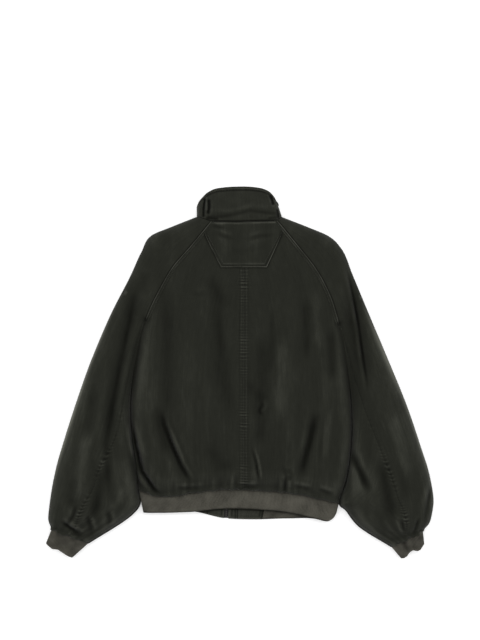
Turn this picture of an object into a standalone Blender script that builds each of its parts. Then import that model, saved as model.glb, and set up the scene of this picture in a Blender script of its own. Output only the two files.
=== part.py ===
"""Oversized bomber jacket of washed black denim, laid face down with its back up.

Lengths in the tables are millimetres. The origin lies on the surface under the
middle of the jacket: +X to the wearer's right, +Y to the collar, +Z up. The cloth
is one upper sheet (back) and one lower sheet (front) that meet in soft folds
along the silhouette; every panel is a wall cut out of one of the two sheets.
"""

from collections import namedtuple

import bmesh
import bpy
import numpy as np

MM = 0.001

# Cloth and clearances
DENIM = 1.4  # thickness of one layer of denim
RIB = 2.4  # thickness of the knitted rib
TAB_CLOTH = 3.0  # the waistband's denim ends are folded double
INNER_COLLAR = 1.2
SEAM = 0.3  # clearance between two pieces that are sewn together
RAGLAN_HALF_GAP = 0.28  # along X, on each side of the slanted raglan seam
SIDE_HALF_GAP = 0.9  # between the body's side fold and the sleeve beside it
HEM_GAP = 0.55  # between a body panel's facets and the waistband's

# Heights above the surface that the jacket lies on
FOLD_Z = 7.0  # middle of the soft fold all round the silhouette
FOLD_RUN = 24.0  # how far from the silhouette the roll of the upper sheet ends
UNDER_RUN = 14.0  # the same for the lower sheet
LOFT = 24.0  # upper sheet, just inside the roll
LOFT_GAIN = 8.0  # extra height that wide places have
LOFT_REACH = 60.0
BAND_FOLD_Z = 6.4
BAND_Z = 12.8  # outer face of the back waistband
CUFF_Z = 16.0
RIM_Z = 17.0  # outer face of the collar at its top edge
COLLAR_BULGE = 4.5
COLLAR_GAP = 0.4  # from the neck seam to the collar
BLOUSE = 46.0  # how far above the waistband the body comes down to it

# Centre back seam, and the zip's centre line from the hem to the collar
CENTRE_BACK_X = 8.0
ZIP_LOW = (-31.0, -336.0)
ZIP_HIGH = (1.0, 424.0)
TAPE_END = 414.0  # just short of the collar's top edge at the front
ZIP_HALF_GAP = 4.8  # the fronts stop this far from the zip's centre line
TAPE_THICK = 0.9
TAPE_LIFT = 0.3  # the tape's outer face above the fronts' outer face

# Slider and pull tab
SLIDER_Y = 403.0
SLIDER_RISE = 4.6  # the front is propped up this far by the slider
SLIDER_LENGTH, SLIDER_WIDTH = 12.0, 8.6
PLATE, PLATE_GAP = 1.2, 0.95  # the gap is from the chain's middle to a plate
POST_WIDTH = 2.4
TAB_LENGTH, TAB_WIDTH, TAB_BAR = 29.0, 7.0, 1.1
EYE_WIDTH, EYE_LENGTH = 3.6, 4.6
BRIDGE_WIDTH, BRIDGE_THICK, BRIDGE_LENGTH, BRIDGE_GAP = 2.4, 0.9, 6.4, 1.8
TAB_TILT = 0.045  # radians: the tab's free end rests near the surface

# Rows down the body, from the neck (0) to the waistband (1). The sleeves share them
# along the raglan and side seams and go on to the cuff.
BODY_ROWS = (0, 0.04, 0.085, 0.135, 0.19, 0.245, 0.305, 0.365, 0.43, 0.5, 0.58,
             0.66, 0.74, 0.81, 0.87, 0.92, 0.955, 0.98, 1.0)
UNDERARM = 0.365
CUFF_ROW = 1.2
SLEEVE_ROWS = BODY_ROWS[:-2] + (0.99, 1.03, 1.07, 1.11, 1.15, 1.18, CUFF_ROW)
BACK_COLUMNS, FRONT_COLUMNS = 22, 14
SLEEVE_COLUMNS, WRAP_COLUMNS = 14, 4
CUFF_COLUMNS, BAND_COLUMNS = 10, 26
WRAP_START = 5.0  # the lower sleeve panel's last columns start this near the raglan seam

# One row per section of a sleeve, station as in BODY_ROWS. inner is the raglan seam,
# then the side of the sleeve next to the body; outer is the silhouette. seam is how
# far the underarm seam has rolled onto the upper side, as a share of the width, and
# puff is the extra height of the balloon.
Section = namedtuple("Section", "station inner_x inner_y outer_x outer_y seam puff")
LEFT_SLEEVE = [Section(*row) for row in (
    (0.000, -65.5, 345.0, -98.2, 356.8, 0.03, 0),
    (0.050, -90.8, 314.2, -155.3, 334.2, 0.03, 0),
    (0.100, -116.4, 283.5, -203.6, 312.8, 0.03, 0),
    (0.160, -148.6, 246.6, -225.4, 276.0, 0.03, 0),
    (0.250, -182.2, 191.2, -251.9, 218.5, 0.03, 0),
    (0.365, -215.0, 120.4, -293.3, 138.0, 0.05, 0),
    (0.500, -235.8, 37.4, -337.0, 36.8, 0.08, 3),
    (0.650, -248.9, -54.9, -370.3, -55.2, 0.12, 5),
    (0.800, -246.6, -147.2, -400.2, -147.2, 0.24, 8),
    (0.920, -236.7, -221.1, -420.9, -218.5, 0.45, 10),
    (1.000, -232.3, -270.3, -431.3, -269.1, 0.53, 11),
    (1.060, -228.6, -302.5, -436.8, -308.2, 0.62, 9),
    (1.120, -254.2, -332.4, -439.1, -335.8, 0.62, 6),
    (1.200, -347.3, -392.2, -431.3, -360.0, 0.50, 0),
)]
RIGHT_SLEEVE = [Section(*row) for row in (
    (0.000, 86.3, 347.3, 97.1, 356.5, 0.03, 0),
    (0.050, 113.2, 314.6, 153.0, 334.7, 0.03, 0),
    (0.100, 139.6, 282.2, 203.6, 312.8, 0.03, 0),
    (0.160, 170.2, 243.3, 233.5, 284.0, 0.03, 0),
    (0.250, 203.1, 185.0, 259.9, 223.1, 0.03, 0),
    (0.365, 227.7, 110.5, 293.3, 142.6, 0.05, 0),
    (0.500, 245.0, 23.0, 342.7, 25.3, 0.09, 3),
    (0.650, 256.5, -74.2, 383.0, -73.6, 0.21, 5),
    (0.800, 255.8, -171.4, 415.2, -167.9, 0.40, 8),
    (0.920, 244.3, -249.2, 437.0, -239.2, 0.54, 10),
    (1.000, 229.3, -301.0, 445.1, -289.8, 0.63, 11),
    (1.060, 244.9, -317.4, 443.4, -315.1, 0.65, 9),
    (1.120, 272.6, -351.9, 437.0, -342.7, 0.66, 6),
    (1.200, 348.5, -400.2, 420.7, -363.4, 0.54, 0),
)]

# The neck seam and the collar's top edge, by the share of the way from the left fold
# of the collar to the right one.
Neck = namedtuple("Neck", "share seam_x back_y front_y")
NECK = [Neck(*row) for row in (
    (0.00, -98.2, 356.8, 356.8),
    (0.18, -65.5, 345.0, 340.0),
    (0.50, -3.3, 344.3, 322.0),
    (0.93, 86.3, 347.3, 340.0),
    (1.00, 97.1, 356.5, 356.5),
)]
Rim = namedtuple("Rim", "share x back_y front_y")
RIM = [Rim(*row) for row in (
    (0.00, -98.5, 379.5, 379.5),
    (0.05, -93.2, 391.0, 391.0),
    (0.11, -85.3, 400.3, 400.0),
    (0.18, -75.0, 410.6, 408.0),
    (0.26, -60.0, 419.0, 413.5),
    (0.38, -36.0, 423.6, 416.0),
    (0.52, -4.0, 425.5, 417.0),
    (0.66, 30.0, 424.6, 416.5),
    (0.79, 58.0, 419.0, 413.5),
    (0.88, 72.0, 410.4, 407.0),
    (0.94, 80.6, 399.7, 398.5),
    (0.98, 85.4, 390.0, 390.0),
    (1.00, 89.7, 379.5, 379.5),
)]

# The waistband, by the share of the way from its left fold to its right one
SEAM_ENDS = (-231.5, 228.4)
EDGE_ENDS = (-220.8, 208.0)
Hem = namedtuple("Hem", "share back_seam back_edge front_seam front_edge")
HEM = [Hem(*row) for row in (
    (0.00, -270.3, -322.0, -270.3, -322.0),
    (0.12, -285.0, -322.0, -281.0, -320.5),
    (0.27, -276.0, -319.5, -280.0, -320.5),
    (0.43, -268.0, -312.8, -291.0, -335.0),
    (0.58, -270.3, -313.8, -294.0, -338.0),
    (0.78, -278.3, -322.0, -292.0, -336.0),
    (0.91, -290.5, -334.5, -293.0, -336.5),
    (1.00, -301.0, -345.0, -301.0, -345.0),
)]
BAND_FOLD_SHARES = (0, 0.0075, 0.022, 0.05)
TAB_SHARES = (0.304, 0.634)  # where the denim ends of the waistband meet the rib

# The neck yoke patch, from the neck seam to its lower edge
Yoke = namedtuple("Yoke", "share left_x right_x")
YOKE = [Yoke(*row) for row in (
    (0.00, -62.0, 79.5),
    (0.22, -78.5, 97.0),
    (0.30, -79.5, 96.5),
    (1.00, -42.6, 62.1),
)]
YOKE_LOW_Y = 240.4

# Places round the collar, close together at its side folds
COLLAR_LEFT_SHARES = (0, 0.012, 0.045, 0.1, 0.18)
COLLAR_RIGHT_SHARES = (0.93, 0.965, 0.99, 1)

# The cuffs' open ends, from the outer fold to the inner one
Cuff = namedtuple("Cuff", "outer inner")
LEFT_CUFF = Cuff((-445.0, -393.3), (-384.1, -425.5))
RIGHT_CUFF = Cuff((425.5, -397.9), (370.3, -426.0))

# The largest folds of the upper sheet: a centre line, half width and height. A
# negative height is a valley.
Fold = namedtuple("Fold", "line half_width height")
FOLDS = [Fold(*row) for row in (
    (((-54, 207), (-47, 113), (-36, -5), (-24, -92)), 17, -5),
    (((-164, 170), (-161, 30), (-160, -92)), 15, -4),
    (((-178, -92), (-153, -168), (-113, -251)), 12, -8),
    (((-238, -180), (-222, -235), (-190, -285)), 14, -9),
    (((52, 83), (50, -10), (52, -92)), 15, -5),
    (((98, 83), (93, -110)), 14, 4),
    (((151, 166), (153, 28)), 12, -4),
    (((171, 189), (181, 50)), 12, 3),
    (((210, 100), (212, -18)), 11, -4),
    (((174, -92), (139, -239)), 13, -7),
    (((-233, 202), (-245, 150), (-259, 87), (-275, 7), (-291, -76), (-298, -129)), 14, -9),
    (((250, 212), (263, 159), (273, 106), (282, 39), (291, -18)), 13, -8),
    (((-345, -130), (-371, -294)), 14, 5),
    (((-310, -215), (-330, -330)), 13, -5),
    (((352, -90), (378, -250)), 14, 5),
    (((322, -200), (352, -330)), 13, -5),
)]

# Gathers into the back waistband, the front one and the cuffs: where, how wide, how
# high, how long
Gather = namedtuple("Gather", "x half_width rise length")
BACK_GATHERS = [Gather(*row) for row in (
    (-205, 9, 3.5, 34), (-160, 11, 4.0, 55), (-128, 8, 3.0, 30), (-92, 12, 4.5, 60),
    (-58, 8, 3.0, 36), (-24, 10, 4.0, 48), (30, 10, 4.5, 62), (64, 8, 3.0, 38),
    (92, 9, 4.0, 44), (126, 8, 4.5, 58), (160, 10, 3.5, 40), (196, 9, 3.5, 34),
)]
FRONT_GATHERS = [Gather(*row) for row in (
    (-196, 9, 4.0, 50), (-160, 8, 3.0, 36), (-128, 9, 4.0, 56), (72, 8, 3.0, 40),
    (106, 9, 4.0, 60), (140, 8, 3.5, 42), (176, 9, 4.0, 52),
)]
CUFF_GATHERS = 5
CUFF_GATHER_RISE = 3.2

COLOURS = {
    "denim": ((0.021, 0.022, 0.018), 0.86, 0.0),
    "denim_inside": ((0.030, 0.031, 0.026), 0.88, 0.0),
    "rib": ((0.070, 0.066, 0.055), 0.92, 0.0),
    "zip_tape": ((0.012, 0.012, 0.012), 0.80, 0.0),
    "zip_metal": ((0.16, 0.15, 0.14), 0.38, 1.0),
}


# ---------------------------------------------------------------- curves and sheets

def smooth(stations, values, at):
    """A cubic curve through a table's values, held at its ends."""
    stations, values = np.asarray(stations, float), np.asarray(values, float)
    slopes = np.gradient(values, stations)
    at = np.clip(at, stations[0], stations[-1])
    cell = np.clip(np.searchsorted(stations, at, side="right") - 1, 0, len(stations) - 2)
    step = stations[cell + 1] - stations[cell]
    t = (at - stations[cell]) / step
    start, end = values[cell], values[cell + 1]
    bend = t * (1 - t)
    return (start + (end - start) * t * t * (3 - 2 * t)
            + step * bend * ((1 - t) * slopes[cell] - t * slopes[cell + 1]))


def column(table, name):
    return [getattr(row, name) for row in table]


def sleeve_points(table, side, station):
    """Plan points of the sleeve's inner or outer line at the given stations."""
    stations = column(table, "station")
    return np.stack([smooth(stations, column(table, f"{side}_{axis}"), station)
                     for axis in "xy"], axis=-1)


def sleeve_value(table, name, station):
    return smooth(column(table, "station"), column(table, name), station)


def to_line(points, line):
    """Distance in plan from each point to a line of points."""
    line = np.asarray(line, float)
    best = np.full(points.shape[:-1], np.inf)
    for start, end in zip(line[:-1], line[1:]):
        along = end - start
        share = np.clip(((points - start) @ along) / (along @ along), 0, 1)
        gap = np.linalg.norm(points - start - share[..., None] * along, axis=-1)
        best = np.minimum(best, gap)
    return best


OUTER_LINES = [sleeve_points(table, "outer", np.linspace(0, CUFF_ROW, 70))
               for table in (LEFT_SLEEVE, RIGHT_SLEEVE)]
SIDE_LINES = [sleeve_points(table, "inner", np.linspace(UNDERARM, CUFF_ROW, 60))
              for table in (LEFT_SLEEVE, RIGHT_SLEEVE)]


def from_silhouette(points):
    """Distance to the outer edge of a sleeve, or to the fold beside the body."""
    outer = np.min([to_line(points, line) for line in OUTER_LINES], axis=0)
    side = np.min([to_line(points, line) for line in SIDE_LINES], axis=0)
    return np.minimum(outer, np.maximum(side - SIDE_HALF_GAP, 0))


def quarter_round(share):
    """0 to 1 like the top of a circle: steep at first, level at the end."""
    return np.sqrt(np.clip(1 - (1 - np.clip(share, 0, 1)) ** 2, 0, 1))


def ease(share):
    """0 to 1 with a finite slope at first, level at the end."""
    return 1 - (1 - np.clip(share, 0, 1)) ** 2


def fold_height(points):
    """What the largest folds add to the upper sheet."""
    total = np.zeros(points.shape[:-1])
    for fold in FOLDS:
        total += fold.height * np.exp(-(to_line(points, fold.line) / fold.half_width) ** 2)
    return total


def upper_z(points):
    """Height of the upper sheet's outer face, without blousing or puff."""
    depth = from_silhouette(points)
    loft = LOFT + LOFT_GAIN * (1 - np.exp(-depth / LOFT_REACH)) + fold_height(points)
    return FOLD_Z + (loft - FOLD_Z) * quarter_round(depth / FOLD_RUN)


def slider_rise(points):
    """How far the zip's slider props the front up off the surface."""
    across = points[..., 0] - zip_x(points[..., 1])
    along = points[..., 1] - SLIDER_Y
    return SLIDER_RISE * np.exp(-(across / 30) ** 2 - (along / 34) ** 2)


def lower_z(points):
    """Height of the lower sheet's outer face: flat where it rests."""
    depth = from_silhouette(points)
    return FOLD_Z * (1 - quarter_round(depth / UNDER_RUN)) + slider_rise(points)


def zip_x(y):
    share = (y - ZIP_LOW[1]) / (ZIP_HIGH[1] - ZIP_LOW[1])
    return ZIP_LOW[0] + (ZIP_HIGH[0] - ZIP_LOW[0]) * share


def hem_y(name, share):
    return smooth(column(HEM, "share"), column(HEM, name), share)


def hem_share(x, ends):
    return np.clip((x - ends[0]) / (ends[1] - ends[0]), 0, 1)


def gathers(table, x, above_seam):
    """Ridges that rise from the waistband's seam and die out up the body."""
    total = np.zeros(np.shape(x))
    for gather in table:
        ridge = np.exp(-((x - gather.x) / gather.half_width) ** 2)
        swell = 0.25 + 0.75 * ease(above_seam / 18)
        total += gather.rise * ridge * swell * np.exp(-(above_seam / gather.length) ** 2)
    return total


def back_z(points):
    """The upper sheet on the body: it comes down to the waistband in gathers."""
    x, y = points[..., 0], points[..., 1]
    above = y - hem_y("back_seam", hem_share(x, SEAM_ENDS))
    full = upper_z(points)
    settle = ease(above / BLOUSE)
    side = quarter_round(from_silhouette(points) / FOLD_RUN)
    band = FOLD_Z + (BAND_Z - FOLD_Z) * side
    return band + (full - band) * settle + gathers(BACK_GATHERS, x, above) * side


def front_z(points):
    """The lower sheet on the body: it lies flat, and its gathers lift off."""
    x, y = points[..., 0], points[..., 1]
    above = y - hem_y("front_seam", hem_share(x, SEAM_ENDS))
    clear = ease((from_silhouette(points) - UNDER_RUN) / 20)
    return lower_z(points) + gathers(FRONT_GATHERS, x, above) * clear


# ------------------------------------------------------------------- walls and meshes

def unit(vectors):
    return vectors / np.maximum(np.linalg.norm(vectors, axis=-1, keepdims=True), 1e-9)


def directions_of(points, facing):
    """Directions square to a grid of points. The middle of the grid faces up or down.

    In the end rows they are turned along the row, so that the wall's ends stand
    square to the seam and clear the piece beyond it.
    """
    normals = unit(np.cross(np.gradient(points, axis=1), np.gradient(points, axis=0)))
    middle = normals[len(points) // 2, points.shape[1] // 2, 2]
    normals = normals * np.sign(middle) * facing
    for row in (0, -1):
        plan = points[row, :, :2]
        step = np.diff(plan, axis=0, append=2 * plan[-1:] - plan[-2:-1])
        square = unit(np.stack([step[:, 1], -step[:, 0], np.zeros(len(step))], axis=1))
        lean = (normals[row] * square).sum(axis=1, keepdims=True)
        normals[row] = unit(normals[row] - lean * square)
    return normals


def material(name):
    if name in bpy.data.materials:
        return bpy.data.materials[name]
    made = bpy.data.materials.new(name)
    made.use_nodes = True
    colour, roughness, metallic = COLOURS[name]
    shader = made.node_tree.nodes["Principled BSDF"]
    shader.inputs["Base Color"].default_value = (*colour, 1)
    shader.inputs["Roughness"].default_value = roughness
    shader.inputs["Metallic"].default_value = metallic
    made.diffuse_color = (*colour, 1)
    return made


def add_object(name, mesh, finish):
    made = bpy.data.objects.new(name, mesh)
    bpy.context.scene.collection.objects.link(made)
    mesh.materials.append(material(finish))
    mesh.shade_smooth()
    mesh.set_sharp_from_angle(angle=0.9)
    return made


def wall(name, outer, normals, thickness, finish, ring=False):
    """A closed wall: a grid of outer points, and the same grid moved inwards."""
    inner = outer - normals * thickness
    rows, columns = outer.shape[:2]
    spans = columns if ring else columns - 1

    def at(row, col, layer=0):
        return (layer * rows + row) * columns + col % columns

    faces = []
    for row in range(rows - 1):
        for col in range(spans):
            a, b = (row, col), (row, col + 1)
            c, d = (row + 1, col + 1), (row + 1, col)
            for corners in ((a, b, c), (a, c, d)):
                faces.append([at(*corner) for corner in corners])
                faces.append([at(*corner, 1) for corner in reversed(corners)])
    for row, turn in ((0, 1), (rows - 1, -1)):
        for col in range(spans):
            rim = [at(row, col), at(row, col, 1), at(row, col + 1, 1), at(row, col + 1)]
            faces.append(rim[::turn])
    if not ring:
        for col, turn in ((0, -1), (columns - 1, 1)):
            for row in range(rows - 1):
                rim = [at(row, col), at(row, col, 1), at(row + 1, col, 1), at(row + 1, col)]
                faces.append(rim[::turn])
    points = np.concatenate([outer.reshape(-1, 3), inner.reshape(-1, 3)]) * MM
    mesh = bpy.data.meshes.new(name)
    mesh.from_pydata(points.tolist(), [], faces)
    shape = bmesh.new()
    shape.from_mesh(mesh)
    if shape.calc_volume(signed=True) < 0:
        bmesh.ops.reverse_faces(shape, faces=shape.faces)
    shape.to_mesh(mesh)
    shape.free()
    return add_object(name, mesh, finish)


def with_height(plan, z):
    return np.concatenate([plan, z[..., None]], axis=-1)


def between(low, high, share):
    return low + (high - low) * share


# --------------------------------------------------------------------------- the body

def neck_y(name, x):
    return np.interp(x, column(NECK, "seam_x"), column(NECK, name))


def side_gap(stations):
    """From the raglan seam's clearance to the wider one between body and sleeve."""
    return between(RAGLAN_HALF_GAP, SIDE_HALF_GAP, ease((stations - UNDERARM) / 0.06))


def edge_patch(side, centre, top, bottom, rows, columns):
    """Plan points between four edges, at the given shares down and across."""
    v, c = rows[:, None, None], columns[None, :, None]
    ruled = between(side[:, None], centre[:, None], c)
    lofted = between(top[None], bottom[None], v)
    corners = between(between(side[0], centre[0], c), between(side[-1], centre[-1], c), v)
    return ruled + lofted - corners


def body_panel(name, table, inward, back):
    """A back or front half: from its side to the centre back seam or to the zip."""
    stations = np.array(BODY_ROWS)
    side = sleeve_points(table, "inner", stations)
    side[:, 0] += inward * side_gap(stations)
    if back:
        neck, seam = "back_y", "back_seam"
        columns = np.linspace(0, 1, BACK_COLUMNS + 1) ** 1.25
        centre_x = np.full(len(stations), CENTRE_BACK_X - inward * SEAM / 2)
        heights = between(neck_y(neck, CENTRE_BACK_X),
                          hem_y(seam, hem_share(CENTRE_BACK_X, SEAM_ENDS)), stations)
    else:
        neck, seam = "front_y", "front_seam"
        columns = np.linspace(0, 1, FRONT_COLUMNS + 1) ** 1.4
        heights = between(neck_y(neck, zip_x(322)),
                          hem_y(seam, hem_share(zip_x(-290), SEAM_ENDS)), stations)
        centre_x = zip_x(heights) - inward * ZIP_HALF_GAP
        side[:, 1] += (neck_y(neck, side[0, 0]) - side[0, 1]) * (1 - ease(stations / 0.1))
    centre = np.stack([centre_x, heights], axis=1)
    top_x = between(side[0, 0], centre_x[0], columns)
    top = np.stack([top_x, neck_y(neck, top_x)], axis=1)
    low_x = between(side[-1, 0], centre_x[-1], columns)
    bottom = np.stack([low_x, hem_y(seam, hem_share(low_x, SEAM_ENDS)) + HEM_GAP], axis=1)
    side[0], side[-1] = top[0], bottom[0]
    centre[0], centre[-1] = top[-1], bottom[-1]
    plan = edge_patch(side, centre, top, bottom, stations, columns)
    facing = 1 if back else -1
    z = back_z(plan) + SEAM / 2 if back else front_z(plan) - SEAM / 2 * side_share(plan)
    outer = with_height(plan, z)
    normals = directions_of(outer, facing)
    fold = stations > UNDERARM - 0.01
    normals[fold, 0] = (-inward, 0, 0)
    return wall(name, outer, normals, DENIM, "denim")


def side_share(plan):
    """1 on the silhouette's fold, 0 where the lower sheet rests."""
    return 1 - ease(from_silhouette(plan) / UNDER_RUN)


def yoke():
    """The patch below the collar: the back's own points, moved out."""
    rows = np.linspace(0, 1, 9)
    left = np.interp(rows, column(YOKE, "share"), column(YOKE, "left_x"))
    right = np.interp(rows, column(YOKE, "share"), column(YOKE, "right_x"))
    columns = np.linspace(0, 1, 15)
    x = between(left[:, None], right[:, None], columns[None, :])
    top = neck_y("back_y", x) - 2 * SEAM
    y = between(top, YOKE_LOW_Y, rows[:, None])
    plan = np.stack([x, y], axis=-1)
    under = with_height(plan, back_z(plan) + SEAM / 2)
    normals = directions_of(under, 1)
    outer = under + normals * (SEAM + DENIM)
    return wall("neck_yoke", outer, normals, DENIM, "denim")


# ------------------------------------------------------------------ sleeves and cuffs

def cross_shares(count):
    """Shares across a sleeve, closer together near its two folds."""
    even = np.linspace(0, 1, count + 1)
    return 0.3 * even + 0.7 * (1 - np.cos(np.pi * even)) / 2


def sleeve_puff(table, stations, share):
    """Balloon height, which dies out at both folds."""
    return sleeve_value(table, "puff", stations) * np.sin(np.pi * share)


def sleeve_upper(table, plan, stations, share):
    """Upper sheet on a sleeve: balloon, and gathers down to the cuff."""
    full = upper_z(plan) + sleeve_puff(table, stations, share)
    side = quarter_round(from_silhouette(plan) / FOLD_RUN)
    cuff = between(FOLD_Z, CUFF_Z, side)
    to_cuff = (CUFF_ROW - stations) / 0.12
    wave = CUFF_GATHER_RISE * np.sin(2 * np.pi * CUFF_GATHERS * share) * side
    wave = wave * np.exp(-(to_cuff / 0.9) ** 2) * ease(to_cuff * 3)
    return between(cuff, full, ease(to_cuff)) + wave


def sleeve_lines(table, inward):
    stations = np.array(SLEEVE_ROWS)
    outer = sleeve_points(table, "outer", stations)
    inner = sleeve_points(table, "inner", stations)
    inner[:, 0] -= inward * side_gap(stations)
    return stations, outer, inner


def underarm_normals(table, stations, outer, inner):
    """Directions along the underarm seam, the same for both panels that it joins.

    At the underarm itself the two panels meet on the fold, and so they point sideways.
    """
    share = 1 - sleeve_value(table, "seam", stations)
    step = 3 / np.linalg.norm(inner - outer, axis=1)
    lines = []
    for at in (share - step, share, share + step):
        plan = between(outer, inner, at[:, None])
        lines.append(with_height(plan, sleeve_upper(table, plan, stations, at)))
    normals = unit(np.cross(lines[2] - lines[0], np.gradient(lines[1], axis=0)))
    normals = normals * np.sign(normals[:, 2:])
    first = np.argmin(abs(stations - UNDERARM))
    normals[first] = unit(with_height(inner - outer, np.zeros(len(outer))))[first]
    return normals


def sleeve_back(name, table, inward):
    """Upper panel: from the overarm seam to the raglan seam, then the underarm seam."""
    stations, outer, inner = sleeve_lines(table, inward)
    width = np.linalg.norm(inner - outer, axis=1)
    below = stations > UNDERARM
    reach = np.where(below, 1 - sleeve_value(table, "seam", stations) - SEAM / width, 1)
    share = cross_shares(SLEEVE_COLUMNS)[None, :] * reach[:, None]
    plan = between(outer[:, None], inner[:, None], share[..., None])
    z = sleeve_upper(table, plan, stations[:, None], share) + SEAM / 2
    points = with_height(plan, z)
    normals = directions_of(points, 1)
    normals[:, 0] = unit(with_height(outer - inner, np.zeros(len(outer))))
    seam = stations > UNDERARM - 0.01
    normals[seam, -1] = underarm_normals(table, stations, outer, inner)[seam]
    return wall(name, points, normals, DENIM, "denim")


def sleeve_front(name, table, inward):
    """Lower panel: under the sleeve, and round its inner fold to the underarm seam."""
    stations, outer, inner = sleeve_lines(table, inward)
    first_inner = inner[0].copy()
    first_inner[1] = neck_y("front_y", first_inner[0])
    drop = (first_inner - inner[0])[None, :] * (1 - ease(stations / 0.1))[:, None]
    width = np.linalg.norm(inner - outer, axis=1)
    below = stations > UNDERARM
    turn = np.where(below, 1, 1 - WRAP_START / width)
    under = cross_shares(SLEEVE_COLUMNS)[None, :] * turn[:, None]
    seam = np.where(below, 1 - sleeve_value(table, "seam", stations) + SEAM / width, 1)
    wrap = np.linspace(0, 1, WRAP_COLUMNS + 1)[1:]
    over = between(turn[:, None], seam[:, None], wrap[None, :] ** 1.3)
    share = np.concatenate([under, over], axis=1)
    plan = between(outer[:, None], (inner + drop)[:, None], share[..., None])
    low = lower_z(plan) - SEAM / 2 * side_share(plan)
    high = sleeve_upper(table, plan, stations[:, None], share) + SEAM / 2
    on_top = np.zeros(share.shape, bool)
    on_top[below, SLEEVE_COLUMNS + 1:] = True
    points = with_height(plan, np.where(on_top, high, low))
    normals = directions_of(points, -1)
    normals[:, 0] = unit(with_height(outer - inner, np.zeros(len(outer))))
    joined = stations > UNDERARM - 0.01
    normals[joined, -1] = underarm_normals(table, stations, outer, inner)[joined]
    return wall(name, points, normals, DENIM, "denim")


def cuff(name, table, ends, inward):
    """A flattened tube of rib, from the sleeve's end to the open end."""
    _, outer, inner = sleeve_lines(table, inward)
    axis = unit(np.mean(ends, axis=0) - (outer[-1] + inner[-1]) / 2)
    start_outer, start_inner = outer[-1] + 1.5 * SEAM * axis, inner[-1] + 1.5 * SEAM * axis
    across = cross_shares(CUFF_COLUMNS)
    share = np.concatenate([across, across[-2:0:-1]])
    on_top = np.arange(len(share)) <= CUFF_COLUMNS
    rows = np.linspace(0, 1, 4)[:, None, None]
    from_outer = between(start_outer, np.array(ends.outer), rows)
    to_inner = between(start_inner, np.array(ends.inner), rows)
    plan = between(from_outer, to_inner, share[None, :, None])
    width = np.linalg.norm(to_inner - from_outer, axis=-1)
    depth = np.minimum(share, 1 - share)[None, :] * width
    high = between(FOLD_Z, CUFF_Z, quarter_round(depth / FOLD_RUN))
    low = FOLD_Z * (1 - quarter_round(depth / UNDER_RUN))
    points = with_height(plan, np.where(on_top[None, :], high, low))
    step = np.roll(points, -1, axis=1) - np.roll(points, 1, axis=1)
    normals = unit(np.cross(step, np.gradient(points, axis=0)))
    normals = normals * np.sign(normals[1, CUFF_COLUMNS // 2, 2])
    for row in (0, -1):
        line = unit(points[row, CUFF_COLUMNS] - points[row, 0])
        away = np.array([line[1], -line[0], 0])
        lean = (normals[row] @ away)[:, None]
        normals[row] = unit(normals[row] - lean * away)
    return wall(name, points, normals, RIB, "rib", ring=True)


# --------------------------------------------------------------- waistband and collar

def band_points(share, row, front):
    """Plan points of the waistband at a share across, from its seam (0) to its edge (1)."""
    ends = [between(SEAM_ENDS[side], EDGE_ENDS[side], row) for side in (0, 1)]
    which = "front" if front else "back"
    y = between(hem_y(which + "_seam", share), hem_y(which + "_edge", share), row)
    x = between(ends[0], ends[1], share)
    return np.stack(np.broadcast_arrays(x, y), axis=-1), np.minimum(x - ends[0], ends[1] - x)


def waistband():
    """The rib, open at the front: from the left tab round the back to the right tab."""
    rows = np.linspace(0, 1, 4)[:, None]
    back = np.concatenate([BAND_FOLD_SHARES, np.linspace(0.05, 0.95, BAND_COLUMNS + 1)[1:-1],
                           1 - np.array(BAND_FOLD_SHARES[::-1])])[None, :]
    left = back[:, back[0] < TAB_SHARES[0] - 0.01][:, ::-1]
    left = np.concatenate([[[TAB_SHARES[0]]], left[:, :-1]], axis=1)
    right = back[:, back[0] > TAB_SHARES[1] + 0.01][:, ::-1][:, 1:]
    right = np.concatenate([right, [[TAB_SHARES[1]]]], axis=1)
    grids = []
    for share, front in ((left, True), (back, False), (right, True)):
        plan, depth = band_points(share, rows, front)
        if front:
            z = BAND_FOLD_Z * (1 - quarter_round(depth / UNDER_RUN))
        else:
            z = between(BAND_FOLD_Z, BAND_Z, quarter_round(depth / FOLD_RUN))
        grids.append(with_height(plan, z))
    points = np.concatenate(grids, axis=1)
    return wall("waistband", points, directions_of(points, 1), RIB, "rib")


def hem_tab(name, tab_share, inward):
    """The denim end of the waistband, folded double, between the rib and the zip."""
    rows = np.linspace(0, 1, 4)
    seam_share = tab_share + inward * 1.5 * SEAM / (EDGE_ENDS[1] - EDGE_ENDS[0])
    outer_side, _ = band_points(seam_share, rows, True)
    zip_share = hem_share(zip_x(outer_side[:, 1]), SEAM_ENDS)
    middle, _ = band_points(zip_share, rows, True)
    zip_side = np.stack([zip_x(middle[:, 1]) - inward * ZIP_HALF_GAP, middle[:, 1]], axis=1)
    columns = np.linspace(0, 1, 7)
    x = between(outer_side[:, :1], zip_side[:, :1], columns[None, :])
    ends = between(np.array(SEAM_ENDS)[:, None], np.array(EDGE_ENDS)[:, None], rows[None, :])
    share = (x - ends[0][:, None]) / (ends[1] - ends[0])[:, None]
    plan, _ = band_points(share, rows[:, None], True)
    points = with_height(plan, slider_rise(plan))
    down = np.broadcast_to([0.0, 0.0, -1.0], points.shape)
    return wall(name, points, down, TAB_CLOTH, "denim")


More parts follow.
